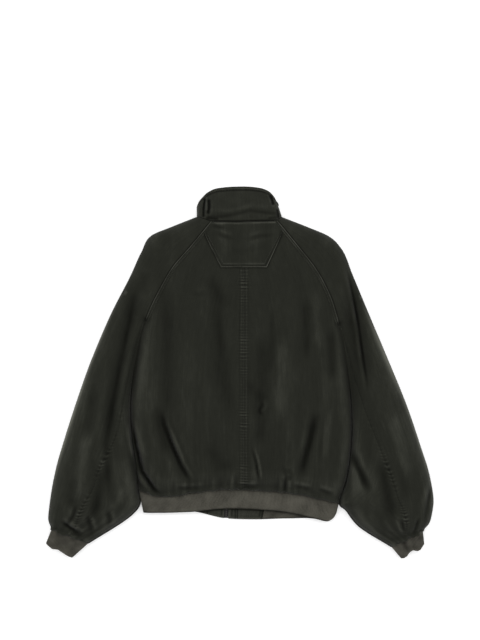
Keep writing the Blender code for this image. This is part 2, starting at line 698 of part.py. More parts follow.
def collar_grid():
    """Outer face of the collar, from the zip round the back to the zip again."""
    rows = np.linspace(0, 1, 6)
    shares = {
        "front_left": np.concatenate([COLLAR_LEFT_SHARES, np.linspace(0.18, 0.45, 6)[1:]])[::-1],
        "back": np.concatenate([COLLAR_LEFT_SHARES, np.linspace(0.18, 0.93, 13)[1:],
                                COLLAR_RIGHT_SHARES[1:]])[1:-1],
        "front_right": np.concatenate([np.linspace(0.54, 0.93, 7)[:-1],
                                       COLLAR_RIGHT_SHARES])[::-1],
    }
    grids = []
    for part, share in shares.items():
        y_name = "back_y" if part == "back" else "front_y"
        base_x = np.interp(share, column(NECK, "share"), column(NECK, "seam_x"))
        slope = np.gradient(neck_y(y_name, base_x), base_x)
        base_y = neck_y(y_name, base_x) + COLLAR_GAP * np.hypot(1, slope)
        rim_x = smooth(column(RIM, "share"), column(RIM, "x"), share)
        rim_y = smooth(column(RIM, "share"), column(RIM, y_name), share)
        if part == "front_left":
            base_x[0] = zip_x(base_y[0]) - ZIP_HALF_GAP
            rim_x[0] = zip_x(rim_y[0]) - ZIP_HALF_GAP
        if part == "front_right":
            base_x[-1] = zip_x(base_y[-1]) + ZIP_HALF_GAP
            rim_x[-1] = zip_x(rim_y[-1]) + ZIP_HALF_GAP
        base, rim = np.stack([base_x, base_y], axis=1), np.stack([rim_x, rim_y], axis=1)
        plan = between(base[None], rim[None], rows[:, None, None])
        depth = collar_depth(share)
        if part == "back":
            rim_z = between(FOLD_Z, RIM_Z, quarter_round(depth / FOLD_RUN))
            z = between(upper_z(base)[None, :], rim_z[None, :], rows[:, None])
            z = z + COLLAR_BULGE * np.sin(np.pi * rows)[:, None] * quarter_round(depth / FOLD_RUN)
        else:
            z = FOLD_Z * (1 - quarter_round(depth / UNDER_RUN))[None, :] + slider_rise(plan)
        grids.append(with_height(plan, z))
    return np.concatenate(grids, axis=1)


def collar_depth(share):
    """Distance along the collar from its nearer side fold, at the neck seam."""
    x = np.interp(share, column(NECK, "share"), column(NECK, "seam_x"))
    return np.minimum(x - NECK[0].seam_x, NECK[-1].seam_x - x)


def collar():
    outer = collar_grid()
    normals = directions_of(outer, 1)
    wall("collar_outer", outer, normals, DENIM, "denim")
    inside = outer - normals * (DENIM + SEAM)
    wall("collar_inner", inside, normals, INNER_COLLAR, "denim_inside")


# -------------------------------------------------------------------------------- zip

def zip_tape(name, side):
    """A tape along the zip. It parts from the other one at the slider."""
    y = np.concatenate([np.linspace(ZIP_LOW[1] + 1, 330, 12),
                        np.linspace(345, SLIDER_Y - 9, 4),
                        [SLIDER_Y - 7, SLIDER_Y, SLIDER_Y + 5, TAPE_END]])
    parted = np.where(y > SLIDER_Y - 8, POST_WIDTH / 2 + SEAM, SEAM / 2)
    inner, outer = zip_x(y) + side * parted, zip_x(y) + side * (ZIP_HALF_GAP - SEAM)
    x = np.stack([inner, outer], axis=1)
    plan = np.stack([x, np.broadcast_to(y[:, None], x.shape)], axis=-1)
    points = with_height(plan, slider_rise(plan) + TAPE_LIFT)
    down = np.broadcast_to([0.0, 0.0, -1.0], points.shape)
    return wall(name, points, down, TAPE_THICK, "zip_tape")


def block(name, centre, size, finish, hidden=False):
    """A box, for the metal parts."""
    shape = bmesh.new()
    bmesh.ops.create_cube(shape, size=1)
    bmesh.ops.scale(shape, vec=np.array(size) * MM, verts=shape.verts)
    bmesh.ops.translate(shape, vec=np.array(centre) * MM, verts=shape.verts)
    mesh = bpy.data.meshes.new(name)
    shape.to_mesh(mesh)
    shape.free()
    made = add_object(name, mesh, finish)
    made.hide_render = hidden
    made.display_type = "WIRE" if hidden else "TEXTURED"
    return made


def combine(target, other, operation):
    change = target.modifiers.new(f"{operation}_{other.name}", "BOOLEAN")
    change.operation = operation
    change.object = other


def round_corners(obj, width, axis):
    """Rounds the edges of a box that run along one axis."""
    shape = bmesh.new()
    shape.from_mesh(obj.data)
    edges = [edge for edge in shape.edges
             if abs((edge.verts[0].co - edge.verts[1].co).normalized()[axis]) > 0.9]
    bmesh.ops.bevel(shape, geom=edges, offset=width * MM, segments=4, profile=0.5,
                    affect="EDGES")
    shape.to_mesh(obj.data)
    shape.free()


def slider_centre():
    """Middle of the chain where the slider sits."""
    x = zip_x(SLIDER_Y)
    return np.array([x, SLIDER_Y, SLIDER_RISE + TAPE_LIFT + TAPE_THICK / 2])


def pull_pivot():
    return slider_centre() - [0, 0, PLATE_GAP + PLATE + BRIDGE_GAP / 2]


def bridge(centre):
    """A strip bent into a U, whose ends sink into the slider's outer plate."""
    half, foot = BRIDGE_LENGTH / 2, PLATE_GAP + PLATE - 0.5
    face = PLATE_GAP + PLATE + BRIDGE_GAP
    outline = [(-half, foot), (-half, face + BRIDGE_THICK - 0.3),
               (-half + 0.3, face + BRIDGE_THICK), (half - 0.3, face + BRIDGE_THICK),
               (half, face + BRIDGE_THICK - 0.3), (half, foot),
               (half - BRIDGE_THICK, foot), (half - BRIDGE_THICK, face),
               (-half + BRIDGE_THICK, face), (-half + BRIDGE_THICK, foot)]
    count = len(outline)
    points = [centre + [x, y, -z] for x in (-BRIDGE_WIDTH / 2, BRIDGE_WIDTH / 2)
              for y, z in outline]
    faces = [list(range(count))[::-1], list(range(count, 2 * count))]
    faces += [[i, (i + 1) % count, (i + 1) % count + count, i + count] for i in range(count)]
    mesh = bpy.data.meshes.new("slider_bridge")
    mesh.from_pydata((np.array(points) * MM).tolist(), [], faces)
    shape = bmesh.new()
    shape.from_mesh(mesh)
    bmesh.ops.recalc_face_normals(shape, faces=shape.faces)
    shape.to_mesh(mesh)
    shape.free()
    made = add_object("slider_bridge", mesh, "zip_metal")
    made.hide_render = True
    return made


def slider():
    """Two plates on a post, with a bridge on the outer face that holds the tab."""
    centre = slider_centre()
    size = (SLIDER_WIDTH, SLIDER_LENGTH, PLATE)
    plate_z = PLATE_GAP + PLATE / 2
    body = block("zip_slider", centre - [0, 0, plate_z], size, "zip_metal")
    round_corners(body, 2.6, 2)
    top = block("slider_upper_plate", centre + [0, 0, plate_z], size, "zip_metal", True)
    round_corners(top, 2.6, 2)
    post_at = centre + [0, SLIDER_LENGTH / 2 - 2.0, 0]
    post_size = (POST_WIDTH, 3.0, 2 * PLATE_GAP + 0.6)
    parts = [top, block("slider_post", post_at, post_size, "zip_metal", True)]
    parts.append(bridge(centre))
    for part in parts:
        combine(body, part, "UNION")


def pull_tab():
    """The tab turns on its own crossbar, which the slider's bridge holds."""
    pivot = pull_pivot()
    length = TAB_LENGTH + TAB_BAR / 2
    tab = block("zip_pull", (0, TAB_BAR / 2 - length / 2, 0),
                (TAB_WIDTH, length, TAB_BAR), "zip_metal")
    round_corners(tab, 1.4, 2)
    eye = block("pull_eye", (0, -TAB_BAR / 2 - EYE_LENGTH / 2, 0),
                (EYE_WIDTH, EYE_LENGTH, 2 * TAB_BAR), "zip_metal", True)
    grip = block("pull_grip", (0, -TAB_LENGTH + 5.5, 0), (2.6, 6.0, 2 * TAB_BAR),
                 "zip_metal", True)
    round_corners(grip, 1.2, 2)
    for hole in (eye, grip):
        hole.parent = tab
        combine(tab, hole, "DIFFERENCE")
    tab.location = pivot * MM
    tab.rotation_euler = (TAB_TILT, 0, 0)


# ------------------------------------------------------------------------- the jacket

def clear_scene():
    for obj in list(bpy.data.objects):
        bpy.data.objects.remove(obj)


def build_jacket():
    sides = (("left", LEFT_SLEEVE, LEFT_CUFF, 1, TAB_SHARES[0]),
             ("right", RIGHT_SLEEVE, RIGHT_CUFF, -1, TAB_SHARES[1]))
    for side, table, cuff_ends, inward, tab_share in sides:
        body_panel(f"back_{side}", table, inward, back=True)
        body_panel(f"front_{side}", table, inward, back=False)
        sleeve_back(f"sleeve_back_{side}", table, inward)
        sleeve_front(f"sleeve_front_{side}", table, inward)
        cuff(f"cuff_{side}", table, cuff_ends, inward)
        hem_tab(f"hem_tab_{side}", tab_share, inward)
        zip_tape(f"zip_tape_{side}", -inward)
    yoke()
    waistband()
    collar()
    slider()
    pull_tab()


clear_scene()
build_jacket()
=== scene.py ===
# %% [markdown]
# An oversized bomber jacket of washed black denim, photographed from straight above
# with its back up. The frame holds the same jacket as plain solids. Here each of its
# pieces is made again as fine cloth, in the same place, with its creases, gathers,
# seams, stitches, rib and zip. A cloth simulation could drape it too, but the jacket
# lies still and its folds have known places, so small functions put each one where it
# belongs. Lengths are millimetres, and become metres when a mesh is made.

# %% The frame
from collections import namedtuple

import bmesh
import bpy
import numpy as np
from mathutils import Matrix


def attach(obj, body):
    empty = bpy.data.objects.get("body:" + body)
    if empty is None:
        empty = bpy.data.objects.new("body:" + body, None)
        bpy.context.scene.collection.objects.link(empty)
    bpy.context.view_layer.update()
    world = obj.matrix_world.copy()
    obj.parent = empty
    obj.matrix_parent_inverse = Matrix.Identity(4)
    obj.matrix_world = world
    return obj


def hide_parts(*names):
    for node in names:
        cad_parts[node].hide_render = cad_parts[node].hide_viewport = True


MM = 0.001
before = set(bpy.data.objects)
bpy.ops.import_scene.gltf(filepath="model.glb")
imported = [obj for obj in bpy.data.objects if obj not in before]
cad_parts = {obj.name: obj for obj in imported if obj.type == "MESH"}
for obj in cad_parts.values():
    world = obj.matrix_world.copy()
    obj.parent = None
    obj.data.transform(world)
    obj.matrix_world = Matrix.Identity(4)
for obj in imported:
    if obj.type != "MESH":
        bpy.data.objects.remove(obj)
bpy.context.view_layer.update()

# %% [markdown]
# The photograph looks straight down on the jacket. A camera 3.5 m up with a narrow
# lens gives the same flat view, where a near one would splay the sleeves. The floor is
# pale and glows a little. The light is soft and comes from large panels, so that dark
# cloth shows its folds without the hard shadows that a sun would cast.

# %% Camera, floor and light
CAMERA_HEIGHT, HALF_VIEW = 3.5, 0.736  # metres; half of what the picture's height shows
FLOOR_HALF, FLOOR_DROP = 6, 0.0005  # metres; the drop leaves room for the stitches below
scene = bpy.context.scene
camera = bpy.data.objects.new("camera", bpy.data.cameras.new("camera"))
scene.collection.objects.link(camera)
camera.location = (0.001, 0.120, CAMERA_HEIGHT)
camera.data.sensor_fit = "VERTICAL"
camera.data.angle = 2 * np.arctan(HALF_VIEW / CAMERA_HEIGHT)
scene.camera = camera


def soft_light(name, place, turn, size, power):
    lamp = bpy.data.lights.new(name, "AREA")
    lamp.shape, lamp.size, lamp.size_y = "RECTANGLE", size[0], size[1]
    lamp.energy = power
    made = bpy.data.objects.new(name, lamp)
    made.location, made.rotation_euler = place, turn
    scene.collection.objects.link(made)


soft_light("left_panel", (-2.3, 0.6, 1.35), (0, -1.04, 0), (2.0, 1.0), 21.5)
soft_light("right_panel", (2.3, 0.5, 1.35), (0, 1.04, 0), (2.0, 1.0), 21)
soft_light("top_panel", (0.2, 2.4, 1.6), (-0.98, 0, 0), (2.4, 1.0), 14)

world = bpy.data.worlds.new("studio")
world.use_nodes = True
daylight = world.node_tree.nodes["Background"]
daylight.inputs["Color"].default_value = (1, 1, 1, 1)
daylight.inputs["Strength"].default_value = 0.72
scene.world = world
scene.view_settings.view_transform = "Standard"

floor_mesh = bpy.data.meshes.new("floor")
floor_corners = [(x * FLOOR_HALF, y * FLOOR_HALF, 0) for x, y in
                 ((-1, -1), (1, -1), (1, 1), (-1, 1))]
floor_mesh.from_pydata(floor_corners, [], [(0, 1, 2, 3)])
floor = bpy.data.objects.new("floor", floor_mesh)
floor.location.z = -FLOOR_DROP
scene.collection.objects.link(floor)
print("camera", CAMERA_HEIGHT, "m above the jacket;", len(bpy.data.lights), "soft panels")

# %% [markdown]
# The shape of the jacket is written in a few tables, so that the fine cloth lies
# exactly over the plain solids. First come the thicknesses of the cloth, and the
# heights at which its folds and edges lie when the jacket is spread on a table.

# %% Thicknesses and heights
DENIM = 1.4  # thickness of one layer of denim
RIB = 2.4  # thickness of the knitted rib
TAB_CLOTH = 3.0  # the waistband's denim ends are folded double
INNER_COLLAR = 1.2
SIDE_HALF_GAP = 0.9  # between the body's side fold and the sleeve beside it
GAP = 0.12  # between two panels at a seam

# Heights above the surface that the jacket lies on, and how far its rolls reach
FOLD_Z = 7.0  # middle of the soft fold all round the silhouette
FOLD_RUN = 24.0  # how far from the silhouette the roll of the upper sheet ends
UNDER_RUN = 14.0  # the same for the lower sheet
UNDER_TUCK = 0.15  # the lower sheet stays this far inside the upper one at the silhouette
LOFT = 24.0  # upper sheet, just inside the roll
LOFT_GAIN = 8.0  # extra height that wide places have
LOFT_REACH = 60.0  # how far in from the silhouette the gain grows
BAND_FOLD_Z = 6.4
BAND_Z = 12.8  # outer face of the back waistband
CUFF_Z = 16.0  # upper side of a cuff
RIM_Z = 17.0  # outer face of the collar at its top edge
COLLAR_BULGE = 4.5  # extra height halfway up the collar
BLOUSE = 46.0  # how far above the waistband the body comes down to it

# Centre back seam, and the zip's centre line from the hem to the collar
CENTRE_BACK_X = 8.0
ZIP_LOW = (-31.0, -336.0)
ZIP_HIGH = (1.0, 424.0)
TAPE_END = 414.0  # just short of the collar's top edge at the front
ZIP_HALF_GAP = 4.8  # the fronts stop this far from the zip's centre line
TAPE_THICK = 0.9
TAPE_LIFT = 0.3  # the tape's outer face above the fronts' outer face

SLIDER_Y = 403.0
SLIDER_RISE = 4.6  # the front is propped up this far by the slider
POST_WIDTH = 2.4  # of the slider, between the two tapes
FRONT_LOW_Y, FRONT_TOP_Y = -290.0, 322.0  # where the fronts end along the zip
print("the zip is", round(ZIP_HIGH[1] - ZIP_LOW[1]), "mm long")

# %% [markdown]
# A sleeve is a row of sections. Stations run down the body, from the neck (0) to the
# waistband (1), and on to the cuff (1.2). Both the body and the sleeve read the shared
# seam from the same table, which is why the two panels meet without a slit.

# %% Sleeves as sections
UNDERARM, CUFF_ROW = 0.365, 1.2  # stations
BODY_LENGTH = 620.0  # mm for one unit of station

# inner is the raglan seam, then the side of the sleeve next to the body; outer is the
# silhouette. seam is how far the underarm seam has rolled onto the upper side, as a
# share of the width, and puff is the extra height of the balloon.
Section = namedtuple("Section", "station inner_x inner_y outer_x outer_y seam puff")
LEFT_SLEEVE = [Section(*row) for row in (
    (0.000, -65.5, 345.0, -98.2, 356.8, 0.03, 0),
    (0.050, -90.8, 314.2, -155.3, 334.2, 0.03, 0),
    (0.100, -116.4, 283.5, -203.6, 312.8, 0.03, 0),
    (0.160, -148.6, 246.6, -225.4, 276.0, 0.03, 0),
    (0.250, -182.2, 191.2, -251.9, 218.5, 0.03, 0),
    (0.365, -215.0, 120.4, -293.3, 138.0, 0.05, 0),
    (0.500, -235.8, 37.4, -337.0, 36.8, 0.08, 3),
    (0.650, -248.9, -54.9, -370.3, -55.2, 0.12, 5),
    (0.800, -246.6, -147.2, -400.2, -147.2, 0.24, 8),
    (0.920, -236.7, -221.1, -420.9, -218.5, 0.45, 10),
    (1.000, -232.3, -270.3, -431.3, -269.1, 0.53, 11),
    (1.060, -228.6, -302.5, -436.8, -308.2, 0.62, 9),
    (1.120, -254.2, -332.4, -439.1, -335.8, 0.62, 6),
    (1.200, -347.3, -392.2, -431.3, -360.0, 0.50, 0),
)]
RIGHT_SLEEVE = [Section(*row) for row in (
    (0.000, 86.3, 347.3, 97.1, 356.5, 0.03, 0),
    (0.050, 113.2, 314.6, 153.0, 334.7, 0.03, 0),
    (0.100, 139.6, 282.2, 203.6, 312.8, 0.03, 0),
    (0.160, 170.2, 243.3, 233.5, 284.0, 0.03, 0),
    (0.250, 203.1, 185.0, 259.9, 223.1, 0.03, 0),
    (0.365, 227.7, 110.5, 293.3, 142.6, 0.05, 0),
    (0.500, 245.0, 23.0, 342.7, 25.3, 0.09, 3),
    (0.650, 256.5, -74.2, 383.0, -73.6, 0.21, 5),
    (0.800, 255.8, -171.4, 415.2, -167.9, 0.40, 8),
    (0.920, 244.3, -249.2, 437.0, -239.2, 0.54, 10),
    (1.000, 229.3, -301.0, 445.1, -289.8, 0.63, 11),
    (1.060, 244.9, -317.4, 443.4, -315.1, 0.65, 9),
    (1.120, 272.6, -351.9, 437.0, -342.7, 0.66, 6),
    (1.200, 348.5, -400.2, 420.7, -363.4, 0.54, 0),
)]
# The side, its table, and the direction along X that leads to the middle of the body
SIDES = (("left", LEFT_SLEEVE, 1), ("right", RIGHT_SLEEVE, -1))
print("sections of the sleeves:", len(LEFT_SLEEVE), "and", len(RIGHT_SLEEVE))

# %% [markdown]
# The jacket isn't symmetrical as it lies: the back's waistband droops to one side and
# the front's shows below it. So neck, collar, waistband and yoke have a row for each
# place where their edges turn, instead of one half that is mirrored.

# %% Neck, collar, waistband and yoke
# By the share of the way from the left fold of the collar to the right one
Neck = namedtuple("Neck", "share seam_x back_y front_y")
NECK = [Neck(*row) for row in (
    (0.00, -98.2, 356.8, 356.8),
    (0.18, -65.5, 345.0, 340.0),
    (0.50, -3.3, 344.3, 322.0),
    (0.93, 86.3, 347.3, 340.0),
    (1.00, 97.1, 356.5, 356.5),
)]
Rim = namedtuple("Rim", "share x back_y front_y")
RIM = [Rim(*row) for row in (
    (0.00, -98.5, 379.5, 379.5),
    (0.05, -93.2, 391.0, 391.0),
    (0.11, -85.3, 400.3, 400.0),
    (0.18, -75.0, 410.6, 408.0),
    (0.26, -60.0, 419.0, 413.5),
    (0.38, -36.0, 423.6, 416.0),
    (0.52, -4.0, 425.5, 417.0),
    (0.66, 30.0, 424.6, 416.5),
    (0.79, 58.0, 419.0, 413.5),
    (0.88, 72.0, 410.4, 407.0),
    (0.94, 80.6, 399.7, 398.5),
    (0.98, 85.4, 390.0, 390.0),
    (1.00, 89.7, 379.5, 379.5),
)]

# The waistband, by the share of the way from its left fold to its right one
SEAM_ENDS = (-231.5, 228.4)
EDGE_ENDS = (-220.8, 208.0)
Hem = namedtuple("Hem", "share back_seam back_edge front_seam front_edge")
HEM = [Hem(*row) for row in (
    (0.00, -270.3, -322.0, -270.3, -322.0),
    (0.12, -285.0, -322.0, -281.0, -320.5),
    (0.27, -276.0, -319.5, -280.0, -320.5),
    (0.43, -268.0, -312.8, -291.0, -335.0),
    (0.58, -270.3, -313.8, -294.0, -338.0),
    (0.78, -278.3, -322.0, -292.0, -336.0),
    (0.91, -290.5, -334.5, -293.0, -336.5),
    (1.00, -301.0, -345.0, -301.0, -345.0),
)]
TAB_SHARES = (0.304, 0.634)  # where the denim ends of the waistband meet the rib

# The neck yoke patch, from the neck seam to its lower edge
Yoke = namedtuple("Yoke", "share left_x right_x")
YOKE = [Yoke(*row) for row in (
    (0.00, -62.0, 79.5),
    (0.22, -78.5, 97.0),
    (0.30, -79.5, 96.5),
    (1.00, -42.6, 62.1),
)]
YOKE_LOW_Y = 240.4

# The cuffs' open ends, from the outer fold to the inner one
Cuff = namedtuple("Cuff", "outer inner")
LEFT_CUFF = Cuff((-445.0, -393.3), (-384.1, -425.5))
RIGHT_CUFF = Cuff((425.5, -397.9), (370.3, -426.0))
print("places on the collar's edge:", len(RIM), "and on the waistband:", len(HEM))

# %% [markdown]
# The largest folds are soft ridges and valleys along a line. They could be sculpted,
# but a line with a half width and a height is quick to move and says where the fold
# is. A negative height is a valley. Gathers are short ridges that start at a seam.

# %% Folds and gathers
Fold = namedtuple("Fold", "line half_width height")
FOLDS = [Fold(*row) for row in (
    (((-54, 207), (-47, 113), (-36, -5), (-24, -92)), 17, -5),
    (((-164, 170), (-161, 30), (-160, -92)), 15, -4),
    (((-178, -92), (-153, -168), (-113, -251)), 12, -8),
    (((-238, -180), (-222, -235), (-190, -285)), 14, -9),
    (((52, 83), (50, -10), (52, -92)), 15, -5),
    (((98, 83), (93, -110)), 14, 4),
    (((151, 166), (153, 28)), 12, -4),
    (((171, 189), (181, 50)), 12, 3),
    (((210, 100), (212, -18)), 11, -4),
    (((174, -92), (139, -239)), 13, -7),
    (((-233, 202), (-245, 150), (-259, 87), (-275, 7), (-291, -76), (-298, -129)), 14, -9),
    (((250, 212), (263, 159), (273, 106), (282, 39), (291, -18)), 13, -8),
    (((-345, -130), (-371, -294)), 14, 5),
    (((-310, -215), (-330, -330)), 13, -5),
    (((352, -90), (378, -250)), 14, 5),
    (((322, -200), (352, -330)), 13, -5),
)]

# Gathers into the back waistband and the front one: where, how wide, how high, how long
Gather = namedtuple("Gather", "x half_width rise length")
BACK_GATHERS = [Gather(*row) for row in (
    (-205, 9, 3.5, 34), (-160, 11, 4.0, 55), (-128, 8, 3.0, 30), (-92, 12, 4.5, 60),
    (-58, 8, 3.0, 36), (-24, 10, 4.0, 48), (30, 10, 4.5, 62), (64, 8, 3.0, 38),
    (92, 9, 4.0, 44), (126, 8, 4.5, 58), (160, 10, 3.5, 40), (196, 9, 3.5, 34),
)]
FRONT_GATHERS = [Gather(*row) for row in (
    (-196, 9, 4.0, 50), (-160, 8, 3.0, 36), (-128, 9, 4.0, 56), (72, 8, 3.0, 40),
    (106, 9, 4.0, 60), (140, 8, 3.5, 42), (176, 9, 4.0, 52),
)]
print("folds:", len(FOLDS), "gathers:", len(BACK_GATHERS) + len(FRONT_GATHERS))

# %% [markdown]
# All of the cloth lies in two sheets, an upper one (the back) and a lower one (the
# front). Each is a height over the plan of the jacket. The upper sheet rolls down to
# the silhouette like a quarter of a circle, and the lower one rolls up to meet it.
# A height map can't fold back over itself, but a jacket that lies flat doesn't either.

# %% Curves and sheets
def smooth(stations, values, at):
    """A cubic curve through the values, held at its ends."""
    stations, values = np.asarray(stations, float), np.asarray(values, float)
    slopes = np.gradient(values, stations)
    at = np.clip(at, stations[0], stations[-1])
    cell = np.clip(np.searchsorted(stations, at, side="right") - 1, 0, len(stations) - 2)
    step = stations[cell + 1] - stations[cell]
    t = (at - stations[cell]) / step
    start, end = values[cell], values[cell + 1]
    bend = t * (1 - t)
    return (start + (end - start) * t * t * (3 - 2 * t)
            + step * bend * ((1 - t) * slopes[cell] - t * slopes[cell + 1]))


def bell(distance, width):
    """1 in the middle of a bell curve, falling away on both sides."""
    return np.exp(-(distance / width) ** 2)


def column(table, name):
    return [getattr(row, name) for row in table]


def sleeve_points(table, side, station):
    """Plan points of the sleeve's inner or outer line at the given stations."""
    stations = column(table, "station")
    return np.stack([smooth(stations, column(table, f"{side}_{axis}"), station)
                     for axis in "xy"], axis=-1)


def sleeve_value(table, name, station):
    return smooth(column(table, "station"), column(table, name), station)


def to_lines(points, lines):
    """Distance in plan from each point to the nearest of some lines of points."""
    best = np.full(points.shape[:-1], np.inf)
    for line in lines:
        line = np.asarray(line, float)
        for start, end in zip(line[:-1], line[1:]):
            along = end - start
            share = np.clip(((points - start) @ along) / (along @ along), 0, 1)
            gap = np.linalg.norm(points - start - share[..., None] * along, axis=-1)
            best = np.minimum(best, gap)
    return best


OUTER_LINES = [sleeve_points(table, "outer", np.linspace(0, CUFF_ROW, 70))
               for table in (LEFT_SLEEVE, RIGHT_SLEEVE)]
SIDE_LINES = [sleeve_points(table, "inner", np.linspace(UNDERARM, CUFF_ROW, 60))
              for table in (LEFT_SLEEVE, RIGHT_SLEEVE)]


def from_silhouette(points):
    """Distance to the outer edge of a sleeve, or to the fold beside the body."""
    beside_body = np.maximum(to_lines(points, SIDE_LINES) - SIDE_HALF_GAP, 0)
    return np.minimum(to_lines(points, OUTER_LINES), beside_body)


def quarter_round(share):
    """0 to 1 like the top of a circle: steep at first, level at the end."""
    return np.sqrt(np.clip(1 - (1 - np.clip(share, 0, 1)) ** 2, 0, 1))


def ease(share):
    """0 to 1 with a finite slope at first, level at the end."""
    return 1 - (1 - np.clip(share, 0, 1)) ** 2


def bridge(points):
    """Beside the body the valley is shallow at the underarm, and deepens downwards."""
    lift, length, width = 8, 190, 30
    total = np.zeros(points.shape[:-1])
    for line in SIDE_LINES:
        gap, _, along, _ = beside(points, line)
        total += lift * np.clip(1 - along / length, 0, 1) ** 2 * bell(gap, width)
    return total


def upper_z(points):
    """Height of the upper sheet's outer face, without blousing or puff."""
    depth = from_silhouette(points)
    loft = LOFT + LOFT_GAIN * (1 - np.exp(-depth / LOFT_REACH)) + fold_height(points)
    return FOLD_Z + (loft - FOLD_Z) * quarter_round((depth + bridge(points)) / FOLD_RUN)


def slider_rise(points):
    """How far the zip's slider props the front up off the surface."""
    across = points[..., 0] - zip_x(points[..., 1])
    along = points[..., 1] - SLIDER_Y
    return SLIDER_RISE * np.exp(-(across / 30) ** 2 - (along / 34) ** 2)


def lower_z(points):
    """Height of the lower sheet's outer face: flat where it rests."""
    depth = from_silhouette(points)
    return FOLD_Z * (1 - quarter_round(depth / UNDER_RUN)) + slider_rise(points)


def zip_x(y):
    share = (y - ZIP_LOW[1]) / (ZIP_HIGH[1] - ZIP_LOW[1])
    return ZIP_LOW[0] + (ZIP_HIGH[0] - ZIP_LOW[0]) * share


def hem_y(name, share):
    return smooth(column(HEM, "share"), column(HEM, name), share)


def hem_share(x, ends):
    return np.clip((x - ends[0]) / (ends[1] - ends[0]), 0, 1)


def above_band(points, sheet):
    """Distance above the waistband's seam, on the back or the front."""
    return points[..., 1] - hem_y(sheet + "_seam", hem_share(points[..., 0], SEAM_ENDS))


def gathers(table, x, above_seam):
    """Ridges that rise from the waistband's seam and die out up the body."""
    total = np.zeros(np.shape(x))
    for gather in table:
        ridge = bell(x - gather.x, gather.half_width)
        swell = 0.25 + 0.75 * ease(above_seam / 18)
        total += gather.rise * ridge * swell * bell(above_seam, gather.length)
    return total


def back_z(points):
    """The upper sheet on the body: it comes down to the waistband in gathers."""
    above = above_band(points, "back")
    full = upper_z(points)
    settle = ease(above / BLOUSE)
    side = quarter_round(from_silhouette(points) / FOLD_RUN)
    band = FOLD_Z + (BAND_Z - FOLD_Z) * side
    return band + (full - band) * settle + gathers(BACK_GATHERS, points[..., 0], above) * side


def front_z(points):
    """The lower sheet on the body: it lies flat, and its gathers lift off."""
    clear = ease((from_silhouette(points) - UNDER_RUN) / 20)
    ridges = gathers(FRONT_GATHERS, points[..., 0], above_band(points, "front"))
    return lower_z(points) + ridges * clear


def unit(vectors):
    return vectors / np.maximum(np.linalg.norm(vectors, axis=-1, keepdims=True), 1e-9)


def with_height(plan, z):
    return np.concatenate([plan, np.asarray(z)[..., None]], axis=-1)


def between(low, high, share):
    return low + (high - low) * share


# %% [markdown]
# Cloth is never smooth. Creases are sharper than the folds in the tables: a valley
# with a raised lip on one side. Between them the cloth is slightly rumpled. Each
# crease is a line on the plan with a width, a depth and the side of its lip (0 for
# none). Noise alone would give rumples everywhere, and none where the arm bends.

# %% Creases and rumples
Crease = namedtuple("Crease", "line half_width depth lip")
CREASES = [Crease(*row) for row in (
    (((-180, -84), (-172, -120), (-153, -168), (-134, -212), (-108, -256)), 4.5, -5.5, 0.8),
    (((-252, -96), (-240, -150), (-223, -226), (-196, -266), (-160, -292)), 5, -9.0, -0.7),
    (((-50, 150), (-47, 113), (-38, 20)), 9, -1.2, 0.5),
    (((46, -58), (52, -74), (45, -88), (56, -102)), 4, -1.6, 0.8),
    (((26, -166), (38, -206), (45, -250)), 3, -3.2, 0.6),
    (((176, -84), (160, -160), (137, -246)), 7, -2.6, -0.7),
    (((196, -70), (186, -150), (178, -230)), 7, -1.4, 0.6),
    (((98, -208), (106, -236), (103, -284)), 4.5, -3.2, 0.5),
    (((108, -214), (117, -233), (112, -252)), 6, -3.0, -0.4),
    (((-12, -257), (18, -260), (50, -258)), 4, -3.0, 0.4),
    (((118, -257), (142, -262), (168, -268)), 4, -2.4, 0.4),
    (((-150, -264), (-112, -264), (-70, -262)), 4, -2.0, 0.4),
    (((176, -264), (196, -272), (218, -280)), 4, -2.0, 0.4),
    (((-240, -220), (-234, -240), (-229, -262)), 2.6, -3.2, 0.9),
    (((-233, 202), (-245, 150), (-259, 87), (-275, 7), (-291, -76), (-298, -129)), 6, -1.6, 0.7),
    (((240, 256), (250, 216), (263, 159), (273, 106), (282, 39), (291, -22), (292, -64)),
     3.8, -4.4, -0.6),
    (((-262, 192), (-270, 178)), 3, -2.0, 0.8),
    (((278, 182), (286, 168)), 3, -2.0, -0.8),
    (((-412, -334), (-390, -352), (-352, -380)), 5.0, -6.5, 0.3),
    (((-368, -296), (-380, -328), (-400, -358)), 5.0, -3.6, -0.3),
    (((-348, -322), (-340, -350), (-336, -372)), 4, -3.4, 0.7),
    (((-300, -312), (-296, -334), (-300, -352)), 4, -2.6, 0.7),
    (((438, -250), (428, -306), (420, -352)), 5.5, -3.6, -0.3),
    (((410, -326), (402, -356), (390, -386)), 4.5, -4.0, 0.4),
    (((366, -330), (372, -352), (382, -378)), 3.6, -2.6, -0.7),
    (((-112, 186), (-96, 176), (-70, 184)), 6, -0.7, 0.5),
    (((-66, 338), (-48, 331), (-30, 330)), 4, -1.5, 0.5),
    (((-56, 322), (-40, 312), (-8, 303)), 5, -1.4, 0.5),
    (((8, 301), (48, 311), (90, 316)), 5, -1.5, 0.4),
    (((-40, 272), (10, 276), (84, 292)), 8, -0.7, 0.5),
)]
